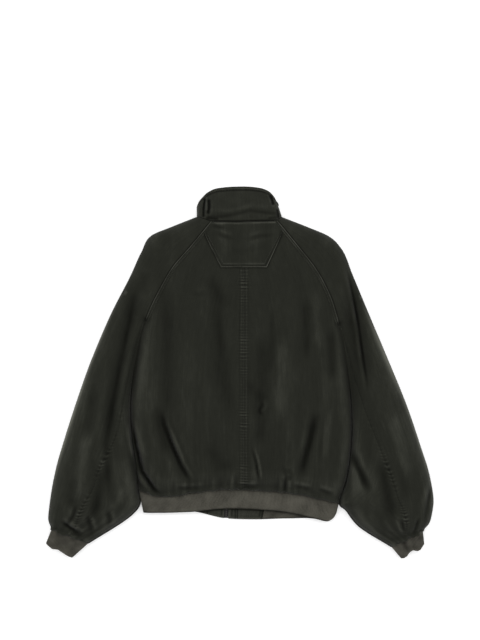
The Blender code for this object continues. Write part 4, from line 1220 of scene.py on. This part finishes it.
# %% [markdown]
# A balloon sleeve is cut in two: an upper panel and a lower one that wraps round its
# inner fold. Rows run across the sleeve and are shared by both panels, so that the seam
# between them can lie anywhere on the upper side. The cloth balloons above the cuff and
# is drawn into it in deep gathers.

# %% Sleeves
SLEEVE_FOLDS = (0.07, 0.19, 0.33, 0.44, 0.60, 0.71, 0.86)  # shares of the sleeve's width
DRAWN_IN = 0.12  # stations over which a sleeve is drawn in to its cuff
# About the widths of the upper panel, the lower one and what wraps up, for their columns
SLEEVE_WIDTH, LOWER_WIDTH, WRAP_WIDTH = 130.0, 120.0, 70.0


def cuff_gathers(stations, share):
    """Deep pleats at the cuff that fan out up the sleeve."""
    to_cuff = (CUFF_ROW - stations) / DRAWN_IN
    total = np.zeros(np.broadcast_shapes(stations.shape, share.shape))
    for index, place in enumerate(SLEEVE_FOLDS):
        reach = 0.7 + 0.5 * ((index * 37) % 5) / 4
        total += (1.9 - 0.5 * (index % 3)) * np.exp(-((share - place) / 0.040) ** 2
                                                   - (to_cuff / reach) ** 2)
    return total * ease(to_cuff * 4)


def sleeve_point(table, outer, inner, stations, share):
    """The upper side of a sleeve as points. It sags over the cuff in uneven lobes."""
    plan = between(outer[:, None], inner[:, None], share[..., None])
    full = upper_z(plan) + sleeve_value(table, "puff", stations) * np.sin(np.pi * share)
    depth = from_silhouette(plan)
    side = quarter_round(depth / FOLD_RUN)
    cuff = between(FOLD_Z, CUFF_Z, side)
    to_cuff = (CUFF_ROW - stations) / DRAWN_IN
    height = between(cuff, full, ease(to_cuff))
    height = height + upper_relief(plan) * ease(to_cuff * 1.5)
    height = height + cuff_gathers(stations, share) * ease(depth / 6)
    above = (CUFF_ROW - stations) * BODY_LENGTH
    droop = sag(above) * quarter_round(depth / 9)
    onward = unit(with_height((outer[-1] + inner[-1] - outer[-9] - inner[-9]) / 2, 0.0))[:2]
    hang = 4.5 + 3.0 * np.sin(share * 19 + outer[0, 0]) + 2.0 * np.sin(share * 37 + 1)
    moved = plan + (droop * hang)[..., None] * onward
    to_body = (1 - share) * np.linalg.norm(inner - outer, axis=1)[:, None]
    under = ease((stations - UNDERARM + 0.01) / 0.03) * bell(to_body, 2.5)
    return with_height(moved, height + 0.15 + 2.2 * droop - 0.9 * under)


def sleeve_lines(table, inward, stations):
    outer = sleeve_points(table, "outer", stations)
    inner = sleeve_points(table, "inner", stations)
    inner[:, 0] -= inward * side_gap(stations)
    return outer, inner


def sleeve_rows(table, inward):
    """What both panels share by row: the sleeve's lines and width, its seam, and 0 to 1
    from the raglan's end on, where the underarm seam runs on the upper side."""
    stations = fine_shares(CUFF_ROW * BODY_LENGTH) * CUFF_ROW
    outer, inner = sleeve_lines(table, inward, stations)
    width, seam = np.linalg.norm(inner - outer, axis=1), sleeve_value(table, "seam", stations)
    return stations, outer, inner, width, 1 - seam, ease((stations - UNDERARM) / 0.02)


def underarm_pucker(gap, along):
    """The seam pulls hardest near the cuff, and in stretches."""
    pull = (0.12 + 0.88 * ease((along - 430) / 120)) * (0.3 + np.sin(along / 41 + 0.8) ** 2)
    return pull * bell(gap, 6.2) * shrink_wave(along + 0.35 * gap, 2.2, 9)


def underarm_wear(gap, along):
    return 0.34 * underarm_pucker(gap, along) - 0.12 * bell(gap, 1.2)


def sewn_sleeve(share, seam, width, stations):
    """How the cloth dips and puckers beside the underarm seam, and how it fades."""
    gap = np.abs(share - seam[:, None]) * width[:, None]
    along = stations[:, None] * BODY_LENGTH * np.ones_like(share)
    return -0.4 * bell(gap, 1.3) + 0.35 * underarm_pucker(gap, along), underarm_wear(gap, along)


def sleeve_normals(points, facing, outer, inner):
    """At the silhouette the cloth faces sideways."""
    normals = cloth_normals(points, facing)
    normals[:, 0] = unit(with_height(outer - inner, np.zeros(len(outer))))
    return normals


def upper_sleeve(name, table, inward):
    stations, outer, inner, width, seam, below = sleeve_rows(table, inward)
    reach = between(1.0, seam - GAP / width, below)
    across = fine_shares(SLEEVE_WIDTH, near=(0, 0.7, 1.8, 3.4, 5.4, 8, 11))
    share = across[None, :] * reach[:, None]
    points = sleeve_point(table, outer, inner, stations[:, None], share)
    dip, seam_fade = sewn_sleeve(share, seam, width, stations)
    points[..., 2] += dip * below[:, None]
    plan = between(outer[:, None], inner[:, None], share[..., None])
    wear_and_painted_light = ridge_wear_and_hollow_shade(points[..., 2]) + seam_wear_and_painted_light(plan) + seam_fade * below[:, None]
    cloth(name, points, sleeve_normals(points, 1, outer, inner), DENIM, washed, wear_and_painted_light)


def lower_sleeve(name, table, inward):
    """The first columns lie below, and the last ones wrap up to the underarm seam."""
    stations, outer, inner, width, seam, below = sleeve_rows(table, inward)
    first = inner[0].copy()
    first[1] = neck_y("front_y", first[0])
    drop = (first - inner[0])[None, :] * (1 - ease(stations / 0.1))[:, None]
    under = fine_shares(LOWER_WIDTH)[None, :] * np.ones((len(stations), 1))
    over = fine_shares(WRAP_WIDTH)[1:] ** 1.15
    back_to = between(1.0, seam + GAP / width, below)
    share = np.concatenate([under, between(1.0, back_to[:, None], over[None, :])], axis=1)
    plan = between(outer[:, None], (inner + drop)[:, None], share[..., None])
    tuck = UNDER_TUCK * (1 - ease(from_silhouette(plan) / UNDER_RUN))
    points = with_height(plan, lower_z(plan) + lower_relief(plan) - tuck)
    top = sleeve_point(table, outer, inner, stations[:, None], share)
    dip, seam_fade = sewn_sleeve(share, seam, width, stations)
    top[..., 2] += dip
    count = under.shape[1]
    open_rows = stations > UNDERARM
    points[open_rows, count:] = top[open_rows, count:]
    sign = np.where(np.arange(share.shape[1]) < count, -1.0, 1.0)[None, :]
    edge = bell(share * width[:, None], 5)
    # The last term paints a highlight along the outer fold of the lower panel
    wear_and_painted_light = ridge_wear_and_hollow_shade(points[..., 2]) * sign * open_rows[:, None] + 0.5 * edge
    wear_and_painted_light = wear_and_painted_light + (seam_wear_and_painted_light(plan) + seam_fade) * (sign > 0) * open_rows[:, None]
    cloth(name, points, sleeve_normals(points, -1, outer, inner), DENIM, washed, wear_and_painted_light)


for side, table, inward in SIDES:
    upper_sleeve("sleeve_back_" + side, table, inward)
    lower_sleeve("sleeve_front_" + side, table, inward)

# %% [markdown]
# Cuffs and waistband are knitted tubes. The ribs run from seam to open edge, 3 mm
# apart, and are cut into the outer face of the mesh; the yarn has some give, so the
# ribs wander a little. A bump map could show them from afar, but not along the edge.

# %% Rib pieces
RIB_PITCH = 3.1
CUFF_HEIGHT, BAND_HEIGHT = 40, 50  # about, for the wear along their edges
CUFF_RINGS, BAND_RINGS = 15, 17
KNIT_LOW_Z = 0.02  # the ribs stay this far above the surface


def ribs(points, normals, depth, wander):
    """Raises the outer face into ribs by the distance round the piece at its middle."""
    run = run_along(points[len(points) // 2])
    rows = np.arange(len(points))[:, None] / len(points)
    phase = np.pi * (run[None, :] + wander * np.sin(5 * rows)) / RIB_PITCH
    ridge = np.abs(np.sin(phase)) ** 0.8 - 0.6
    return points + normals * (depth * ridge)[..., None], ridge


def cuff(name, table, ends, inward):
    """A flat tube: its columns run over the top and back below, and its rows outwards."""
    outer, inner = (line[0] for line in sleeve_lines(table, inward, np.array([CUFF_ROW])))
    axis = unit(np.mean(ends, axis=0) - (outer + inner) / 2)
    start_outer, start_inner = outer + 0.4 * axis, inner + 0.4 * axis
    across = (1 - np.cos(np.pi * np.linspace(0, 1, 90))) / 2
    share = np.concatenate([across, across[-2:0:-1], [0]])
    on_top = np.arange(len(share)) < len(across)
    rows = np.linspace(0, 1, CUFF_RINGS)[:, None, None]
    from_outer = between(start_outer, np.array(ends.outer), rows)
    to_inner = between(start_inner, np.array(ends.inner), rows)
    plan = between(from_outer, to_inner, share[None, :, None])
    plan = plan + axis * (rows * np.interp(share, *CUFF_LOBES[name])[None, :, None])
    width = np.linalg.norm(to_inner - from_outer, axis=-1)
    depth = np.minimum(share, 1 - share)[None, :] * width
    high = between(FOLD_Z, CUFF_Z, quarter_round(depth / FOLD_RUN))
    dents = CUFF_DENTS[name](plan) * quarter_round(depth / FOLD_RUN)
    low = FOLD_Z * (1 - quarter_round(depth / UNDER_RUN))
    points = with_height(plan, np.where(on_top[None, :], high + dents, low))
    points = even_grid(points, 0.52)[:, :-1]
    step = np.roll(points, -1, axis=1) - np.roll(points, 1, axis=1)
    normals = unit(np.cross(step, np.gradient(points, axis=0)))
    top_column = np.argmax(points[1, :, 2])
    normals = normals * np.sign(normals[1, top_column, 2])
    points[..., 2] = np.maximum(points[..., 2], 0.0)
    ribbed_points, ridge = ribs(points, normals, 0.5, 1.5)
    ribbed_points[..., 2] = np.maximum(ribbed_points[..., 2], KNIT_LOW_Z)
    open_end = bell(np.linspace(CUFF_HEIGHT, 0, CUFF_RINGS)[:, None], 4)
    # The ribs' tops are painted paler and the gaps between them darker, as light and shade
    wear_and_painted_light = ridge * 0.6 - 0.22 + 0.3 * open_end + 0.10 * waves(points[..., :2], 59, 40, 16)
    cloth(name, ribbed_points, normals, RIB, ribbed, wear_and_painted_light, ring=True)
    cuts[name] = flat_cut(points, True)  # measured without its ribs


def dent_lines(*lines):
    """A function that gives the height of these lines, each with its width and depth."""
    def dents(plan):
        return sum(depth * bell(beside(plan, line)[0], width) for line, width, depth in lines)
    return dents


# The open end of each cuff runs in and out, by share of its width and mm along it
CUFF_LOBES = {
    "cuff_left": ((0, 0.18, 0.3, 0.45, 0.6, 0.85, 1), (-1, 1.5, 2.5, -2.5, -1, 0.5, 0)),
    "cuff_right": ((0, 0.12, 0.22, 0.34, 0.48, 0.6, 0.75, 0.9, 1),
                   (-4, -1, 2.5, 2.0, -4.5, -3.5, 1.5, 3, 1)),
}
CUFF_DENTS = {
    "cuff_left": dent_lines((((-392, -356), (-364, -375)), 4, -3.5),
                            (((-415, -372), (-404, -408)), 6, -1.6)),
    "cuff_right": dent_lines((((372, -384), (392, -426)), 5, -4.5),
                             (((400, -376), (404, -410)), 5, 2.0)),
}
for (side, table, inward), ends in zip(SIDES, (LEFT_CUFF, RIGHT_CUFF)):
    cuff("cuff_" + side, table, ends, inward)

# %% [markdown]
# The waistband is one strip of rib. It starts at the left tab in front, runs round the
# back and ends at the right tab, so its columns are three stretches: left front, back
# and right front. Where the front shows below the back's edge it lies in its shadow.

# %% Waistband
def band_points(share, row, front):
    """The plan of the band by share of its width and of its height, and how far inside."""
    ends = [between(SEAM_ENDS[side], EDGE_ENDS[side], row) for side in (0, 1)]
    which = "front" if front else "back"
    y = between(hem_y(which + "_seam", share), hem_y(which + "_edge", share), row)
    x = between(ends[0], ends[1], share)
    depth = np.minimum(x - ends[0], ends[1] - x)
    at_right = np.clip(share, 0, 1) ** 24  # this end bulges, with a rounded corner
    x = x + at_right * (4.6 * np.sin(np.pi * row ** 1.4) - 2.0 * row ** 5)
    y = y + at_right ** 3 * 4.0 * row ** 6
    return np.stack(np.broadcast_arrays(x, y), axis=-1), np.broadcast_to(depth, np.shape(x))


def under_back(plan):
    """1 in the shadow just below the edge of the back's waistband."""
    gap = hem_y("back_edge", hem_share(plan[..., 0], EDGE_ENDS)) - plan[..., 1]
    return bell(gap - 0.5, 2.4)


def waistband():
    rows = np.linspace(0, 1, BAND_RINGS)[:, None]
    back = (1 - np.cos(np.pi * np.linspace(0, 1, 240))) / 2
    left = np.append(back[back < TAB_SHARES[0]], TAB_SHARES[0])[::-1][:-1]
    right = np.append(back[back > TAB_SHARES[1]][::-1][1:], TAB_SHARES[1])
    grids = []
    for share, front in ((left, True), (back, False), (right, True)):
        plan, depth = band_points(share[None, :], rows, front)
        if front:
            z = BAND_FOLD_Z * (1 - quarter_round(depth / UNDER_RUN))
        else:
            z = between(BAND_FOLD_Z, BAND_Z, quarter_round(depth / FOLD_RUN))
            wave = 1.1 * waves(plan, 31, 70, 30) * quarter_round(depth / FOLD_RUN)
            z = z + wave * (0.4 + 0.6 * rows)
        grids.append(with_height(plan, z))
    points = even_grid(np.concatenate(grids, axis=1), 0.55)
    normals = cloth_normals(points, 1)
    cut = flat_cut(points)
    points, ridge = ribs(points, normals, 0.45, 2.0)
    points[..., 2] = np.maximum(points[..., 2], KNIT_LOW_Z)
    plan, to_edge = points[..., :2], np.linspace(BAND_HEIGHT, 0, BAND_RINGS)[:, None]
    # Painted light and shade across the ribs, a painted shadow along the lower edge, and painted
    # shade at the seam under the back's overhanging cloth
    wear_and_painted_light = ridge * 0.6 - 0.9 * bell(to_edge, 2.2) - 0.5 * bell(to_edge, 3)[::-1]
    wear_and_painted_light = wear_and_painted_light + 0.09 * waves(plan, 53, 70, 25)
    # Painted shadow where the front shows below the edge of the back's waistband
    wear_and_painted_light = wear_and_painted_light - 0.9 * under_back(plan) * (points[..., 2] < BAND_FOLD_Z - 1)
    cloth("waistband", points, normals, RIB, ribbed, wear_and_painted_light, inner_wear_and_light=0.8)
    cuts["waistband"] = cut


waistband()

# %% [markdown]
# At the front the waistband ends in two tabs of denim, folded double and stitched
# round their edges, with the zip between them. Only their lower ends show, below the
# back's waistband, so their lines of wear are what tells them from a plain strip.

# %% Hem tabs
TAB_WIDTH, TAB_HEIGHT = 60.0, 48.0  # about, for the spacing of their grids


def hem_tab(name, tab_share, inward):
    rows = fine_shares(TAB_HEIGHT, near=(0, 0.8, 2, 4))
    seam_share = tab_share - inward * 0.8 / (EDGE_ENDS[1] - EDGE_ENDS[0])
    outer_side, _ = band_points(seam_share, rows, True)
    zip_share = hem_share(zip_x(outer_side[:, 1]), SEAM_ENDS)
    middle, _ = band_points(zip_share, rows, True)
    zip_side = np.stack([zip_x(middle[:, 1]) - inward * ZIP_HALF_GAP, middle[:, 1]], axis=1)
    columns = fine_shares(TAB_WIDTH, 0.8, near=(0, 0.8, 2, 4))
    x = between(outer_side[:, :1], zip_side[:, :1], columns[None, :])
    ends = between(np.array(SEAM_ENDS)[:, None], np.array(EDGE_ENDS)[:, None], rows[None, :])
    share = (x - ends[0][:, None]) / (ends[1] - ends[0])[:, None]
    plan, _ = band_points(share, rows[:, None], True)
    to_edge = np.minimum(np.minimum(columns, 1 - columns)[None, :] * TAB_WIDTH,
                         np.minimum(rows, 1 - rows)[:, None] * TAB_HEIGHT)
    puff = 0.35 * (1 - bell(to_edge, 2.0))
    along = plan[..., 0] + plan[..., 1]
    puff = puff + 0.25 * bell(to_edge - 4, 4) * shrink_wave(along, 0.7)
    points = with_height(plan, 0.45 - puff.clip(0, 0.45))
    down = np.broadcast_to([0.0, 0.0, -1.0], points.shape)
    seams = (-10.0, -5.0, 51.5, 55.0) if inward < 0 else (-86.0, -74.0)  # doubled seams
    lines = 2.2 * bell(columns * TAB_WIDTH, 1.6)[None, :] + bell(to_edge - 6, 1.2)
    for seam_x in seams:
        lines = lines + 1.5 * bell(plan[..., 0] - seam_x, 1.3)
    # The last term is a painted shadow below the back's waistband
    wear_and_painted_light = 0.35 + 0.35 * bell(to_edge, 2.5) - 0.42 * lines - 0.9 * under_back(plan)
    cloth(name, points, down, TAB_CLOTH, washed, wear_and_painted_light, inner_wear_and_light=1.0)


for (side, _, inward), tab_share in zip(SIDES, TAB_SHARES):
    hem_tab("hem_tab_" + side, tab_share, inward)

# %% [markdown]
# The stand collar is two layers of denim, sewn together along the top. It runs from
# the zip round the back to the zip again, and lies flat here like a squashed tube. A
# row of stitches 8 mm inside its top edge leaves a paler, thicker rim. Both layers are
# the same grid, the inner one a thickness further in, so they can't cross.

# %% Collar
COLLAR_HEIGHT = 78.0
COLLAR_ROWS = fine_shares(COLLAR_HEIGHT, 3.0)  # shares from the neck seam to the rim
COLLAR_CREASES = dent_lines(
    (((-70, 391), (-69, 378), (-71, 366)), 3.6, -5.0),
    (((-79, 394), (-82, 376), (-82, 358)), 3.0, -4.2),
    (((-75.5, 402), (-75.5, 372)), 2.3, 1.5), (((71, 402), (76, 386)), 3.4, -4.4),
    (((64, 405), (70, 390)), 2.4, 1.2), (((86, 371), (88, 357)), 3.0, -3.0),
    (((-70, 356), (-40, 356), (-8, 362), (24, 370), (52, 366), (86, 362)), 6.0, -1.5),
    (((-66, 372), (-30, 368), (6, 376), (30, 384), (60, 378)), 6.0, 0.9),
    (((-74, 352), (-52, 350)), 4.0, -1.6), (((68, 352), (88, 354)), 4.0, -1.6),
)


def back_of_collar(plan, base, rows, side):
    """Heights between the neck seam and the rim, with the rim's band and the creases."""
    rim_z = between(FOLD_Z, RIM_Z, side)
    z = between(upper_z(base)[None, :], rim_z[None, :], rows)
    z = z + COLLAR_BULGE * np.sin(np.pi * rows) * side
    to_rim = (1 - rows) * COLLAR_HEIGHT
    rim_band = 0.8 * (1 - ease((to_rim - 6) / 2)) - 1.1 * bell(to_rim - 7.4, 1.2)
    rim_band = rim_band - 1.8 * bell(COLLAR_HEIGHT - to_rim, 2)
    pucker = 0.12 * bell(to_rim - 5, 4) * shrink_wave(plan[..., 0], 5.0, 7)
    creases = (COLLAR_CREASES(plan) + 0.5 * waves(plan, 11, 60, 25)) * side
    return z + creases + rim_band + pucker


def collar_grid():
    """The collar from zip to zip, and which of its columns lie on the back."""
    rows, fold_x = COLLAR_ROWS[:, None], column(NECK, "seam_x")
    shares = {
        "front_left": np.concatenate([[0.47], np.linspace(0.44, 0, 80)]),
        "back": np.linspace(0, 1, 150)[1:-1],
        "front_right": np.concatenate([np.linspace(1, 0.57, 80), [0.54]]),
    }
    grids, backs = [], []
    for part, share in shares.items():
        y_name = "back_y" if part == "back" else "front_y"
        base_x = np.interp(share, column(NECK, "share"), fold_x)
        slope = np.gradient(neck_y(y_name, base_x), base_x)
        base_y = neck_y(y_name, base_x) + 0.25 * np.hypot(1, slope)
        rim_x = smooth(column(RIM, "share"), column(RIM, "x"), share)
        rim_y = smooth(column(RIM, "share"), column(RIM, y_name), share)
        if part == "front_left":
            base_x[0], rim_x[0] = (zip_x(y[0]) - ZIP_HALF_GAP for y in (base_y, rim_y))
        if part == "front_right":
            base_x[-1], rim_x[-1] = (zip_x(y[-1]) + ZIP_HALF_GAP for y in (base_y, rim_y))
        base, rim = np.stack([base_x, base_y], axis=1), np.stack([rim_x, rim_y], axis=1)
        plan = between(base[None], rim[None], rows[..., None])
        depth = np.minimum(base_x - fold_x[0], fold_x[-1] - base_x)
        if part == "back":
            z = back_of_collar(plan, base, rows, quarter_round(depth / FOLD_RUN))
        else:
            z = FOLD_Z * (1 - quarter_round(depth / UNDER_RUN))[None, :] + slider_rise(plan)
        grids.append(with_height(plan, z))
        backs.append(np.full(len(share), part == "back"))
    return np.concatenate(grids, axis=1), np.concatenate(backs)


collar_points, on_back = collar_grid()
collar_normals = cloth_normals(collar_points, 1)
from_rim = (1 - COLLAR_ROWS)[:, None] * COLLAR_HEIGHT
# Painted shade in the collar's creases, and at its base where it turns in to the neck seam
crease_shade = np.minimum(COLLAR_CREASES(collar_points[..., :2]) + 0.8, 0)
collar_wear_and_painted_light = (ridge_wear_and_hollow_shade(collar_points[..., 2]) + 0.35 * crease_shade) * on_back[None, :]
collar_wear_and_painted_light = (collar_wear_and_painted_light + 0.45 * bell(from_rim, 1.6) + 0.4 * bell(from_rim - 5, 1.0)
               - 0.8 * bell(from_rim - 7.4, 1.2) - 0.8 * bell(COLLAR_HEIGHT - from_rim, 2.4))
cloth("collar_outer", collar_points, collar_normals, DENIM, washed, collar_wear_and_painted_light)
cloth("collar_inner", collar_points - collar_normals * (DENIM + 0.1),
      collar_normals, INNER_COLLAR, inside_face)

# %% [markdown]
# The zip lies in the slot between the fronts: two woven tapes with a row of metal
# teeth clamped along each inner edge. Left and right teeth alternate, so that they
# lock. They are blocks made with bmesh and not an array of one tooth, because each
# follows the height of the tape where it sits. The slider and its pull tab are metal
# castings and keep their solids.

# %% Zip
TOOTH_PITCH = 2.6
TOOTH = (3.0, 1.15, 1.7)  # across the tape, along it and through it


def tape_height(plan):
    """The tape follows the fronts that it is sewn to, and is flat at collar and hem."""
    on_front = ease((plan[..., 1] - FRONT_LOW_Y) / 12)
    on_front = on_front * ease((FRONT_TOP_Y - plan[..., 1]) / 12)
    lifted = front_z(plan) + lower_relief(plan) - slider_rise(plan)
    return slider_rise(plan) + TAPE_LIFT + on_front * lifted


def zip_tape(name, side):
    y = np.linspace(ZIP_LOW[1] + 1, TAPE_END, 260)
    parted = between(-0.1, POST_WIDTH / 2 + 0.3, ease((y - SLIDER_Y + 12) / 8))
    inner, outer = zip_x(y) + side * parted, zip_x(y) + side * (ZIP_HALF_GAP + 1.2)
    x = between(inner[:, None], outer[:, None], np.linspace(0, 1, 7)[None, :])
    plan = np.stack([x, np.broadcast_to(y[:, None], x.shape)], axis=-1)
    points = with_height(plan, tape_height(plan))
    down = np.broadcast_to([0.0, 0.0, -1.0], points.shape)
    cloth(name, points, down, TAPE_THICK, tape_cloth)


def zip_teeth(name, side):
    """Small bevelled blocks that clamp the tape's edge from both faces."""
    shape = bmesh.new()
    places = np.arange(ZIP_LOW[1] + 4, SLIDER_Y - 8, TOOTH_PITCH) + (side > 0) * TOOTH_PITCH / 2
    for y in places:
        at = np.array([[zip_x(y) + side * 0.35, y]])
        z = tape_height(at)[0] + TAPE_THICK / 2
        block = bmesh.ops.create_cube(shape, size=1)["verts"]
        bmesh.ops.scale(shape, vec=np.array(TOOTH) * MM, verts=block)
        for vert in block:
            if vert.co.x * side < 0:
                vert.co.y *= 0.7
                vert.co.z *= 0.8
        place = np.array([at[0, 0] + side * 0.5, y, max(z, 0.86)])
        bmesh.ops.translate(shape, vec=place * MM, verts=block)
    bmesh.ops.bevel(shape, geom=shape.edges[:], offset=0.12 * MM, segments=1, affect="EDGES")
    mesh = bpy.data.meshes.new(name)
    shape.to_mesh(mesh)
    shape.free()
    mesh.shade_smooth()
    mesh.set_sharp_from_angle(angle=0.9)
    add_piece(name, mesh, dark_metal)
    print(name, "has", len(places), "teeth")


for make, name in ((zip_tape, "zip_tape_"), (zip_teeth, "zip_teeth_")):
    for side, _, inward in SIDES:
        make(name + side, -inward)
for node in ("zip_slider", "zip_pull"):
    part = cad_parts[node]
    part.data.materials.clear()
    part.data.materials.append(dark_metal)
    edge = part.modifiers.new("soft_edges", "BEVEL")
    edge.width, edge.segments, edge.limit_method = 0.18 * MM, 2, "ANGLE"

# %% [markdown]
# Stitches are thread, so they are modelled one by one: each is a short bar that dips
# into the cloth at both ends. A row is laid along an offset of its seam, on the
# surface of the panel that it holds down. A dashed texture would be lighter, but lies
# flat, and the low light from the side shows it.

# %% Stitches
STITCH, STITCH_PITCH = 2.5, 3.3  # length, and from one to the next
FELLED_ROWS, YOKE_ROWS = (1.9, 7.2), (2.2, 7.5)  # distances of both rows from the seam
# Each stitch in four sections: share of its length, height above the cloth, radius
SECTIONS = ((-0.5, -0.25, 0.16), (-0.28, 0.24, 0.3), (0.28, 0.24, 0.3), (0.5, -0.25, 0.16))


def beside_line(line, offset):
    """The line moved sideways by an offset (positive is left of its direction)."""
    line = np.asarray(line, float)
    run = unit(np.gradient(line, axis=0))
    return line + offset * np.stack([-run[:, 1], run[:, 0]], axis=1)


def stitch_row(points, facing):
    """Corner points of every stitch along a row of surface points."""
    run = run_along(points)
    middles = np.arange(STITCH_PITCH, run[-1] - STITCH_PITCH, STITCH_PITCH)
    rings = []
    for share, lift, radius in SECTIONS:
        at = middles + share * STITCH
        centre = points_at(points, run, at)
        along = unit(points_at(points, run, at + 0.6) - centre + 1e-9)
        sideways = unit(np.cross(along, (0.0, 0.0, facing)))
        above = unit(np.cross(sideways, along))
        for turn in np.arange(4) * np.pi / 2 + np.pi / 4:
            rings.append(centre + above * (lift + radius * np.sin(turn))
                         + sideways * radius * np.cos(turn))
    return np.stack(rings, axis=1)


def stitches(name, rows, facing=1):
    corners = np.concatenate([stitch_row(row, facing) for row in rows if len(row) > 8])
    faces = []
    for first in range(0, 16 * len(corners), 16):
        for ring in range(3):
            for side in range(4):
                a, b = first + 4 * ring + side, first + 4 * ring + (side + 1) % 4
                faces.append((a, b, b + 4, a + 4))
        faces += [(first + 3, first + 2, first + 1, first), tuple(range(first + 12, first + 16))]
    mesh = bpy.data.meshes.new(name)
    mesh.from_pydata((corners.reshape(-1, 3) * MM).tolist(), [], faces)
    mesh.shade_smooth()
    mesh.uv_layers.new(name="cloth")
    add_piece(name, mesh, thread)
    print(name, "has", len(corners), "stitches")


back_rows = []
for seam in SEAMS.values():
    for offset in FELLED_ROWS:
        line = beside_line(evenly(np.asarray(seam.line, float), 4.0), seam.lap * offset)
        row = back_surface(evenly(line))
        back_rows.append(row[row[:, 1] > -258])
neck_line = np.stack([np.linspace(-60, 80, 60), np.zeros(60)], axis=1)
neck_line[:, 1] = neck_y("back_y", neck_line[:, 0]) - 2.6
yoke_rows = [yoke_surface(evenly(neck_line))]
for offset in YOKE_ROWS:
    corners = [(-79.5 + 1.1 * offset, 316), (-79.5 + 1.1 * offset, 313 - 0.4 * offset),
               (-42.6 + 0.85 * offset, YOKE_LOW_Y + offset),
               (62.1 - 0.85 * offset, YOKE_LOW_Y + offset),
               (96.5 - 1.1 * offset, 313 - 0.4 * offset), (96.5 - 1.1 * offset, 316)]
    yoke_rows.append(yoke_surface(evenly(np.array(corners, float))))
seam_share = np.linspace(0.02, 0.98, 140)
hem_x = between(SEAM_ENDS[0] + 8, SEAM_ENDS[1] - 8, seam_share)
hem_line = np.stack([hem_x, hem_y("back_seam", hem_share(hem_x, SEAM_ENDS)) + 2.4], axis=1)
back_rows.append(back_surface(evenly(hem_line)))
rim_row = collar_points[np.argmin(np.abs(COLLAR_ROWS - (1 - 8 / COLLAR_HEIGHT)))]
front_rows = []
for _, table, inward in SIDES:
    y = np.linspace(-280, 318, 200)
    line = np.stack([zip_x(y) - inward * (ZIP_HALF_GAP + 6.5), y], axis=1)
    front_rows.append(front_surface(evenly(line)))
    stations = np.linspace(0.02, UNDERARM, 40)
    points = sleeve_points(table, "inner", stations)
    drop = neck_y("front_y", points[0, 0]) - points[0, 1]
    points[:, 1] += drop * (1 - ease(stations / 0.1))
    for offset in FELLED_ROWS:
        front_rows.append(front_surface(evenly(beside_line(points, inward * offset))))
stitches("stitches_back", back_rows)
stitches("stitches_yoke", yoke_rows)
stitches("stitches_collar", [evenly(rim_row[on_back])])
stitches("stitches_front", front_rows, -1)

# %% [markdown]
# Last, the flat cut of every piece of cloth is printed: the area of its cloth, its width
# and its length. What each piece lies on is listed in a table. A cut is as wide as its
# widest row and as long as its longest column, and a tube is measured all round. Its
# area is half of its closed wall.

# %% The flat cuts
NARROWEST = 0.010  # a tape whose edge is sewn in is cut at least this wide
LIES_ON = {
    "front_left": "floor", "front_right": "floor",
    "sleeve_front_left": "floor", "sleeve_front_right": "floor",
    "back_left": "front_left", "back_right": "front_right",
    "sleeve_back_left": "sleeve_front_left", "sleeve_back_right": "sleeve_front_right",
    "neck_yoke": "back_left", "waistband": "floor",
    "cuff_left": "floor", "cuff_right": "floor",
    "hem_tab_left": "floor", "hem_tab_right": "floor",
    "collar_outer": "floor", "collar_inner": "collar_outer",
    "zip_tape_left": "floor", "zip_tape_right": "floor",
}


def declare(name):
    """States the flat cut of a piece of cloth: half the area of its closed wall."""
    piece = pieces[name]
    areas = np.empty(len(piece.data.polygons))
    piece.data.polygons.foreach_get("area", areas)
    width, length = np.maximum(cuts[name], NARROWEST)
    area = float(np.clip(areas.sum() / 2, 0.31 * width * length, width * length))
    print(f"{name}: {area * 1e4:.0f} cm2 of cloth in a cut "
          f"{width * 1e3:.0f} x {length * 1e3:.0f} mm")


for name, below in LIES_ON.items():
    declare(name)
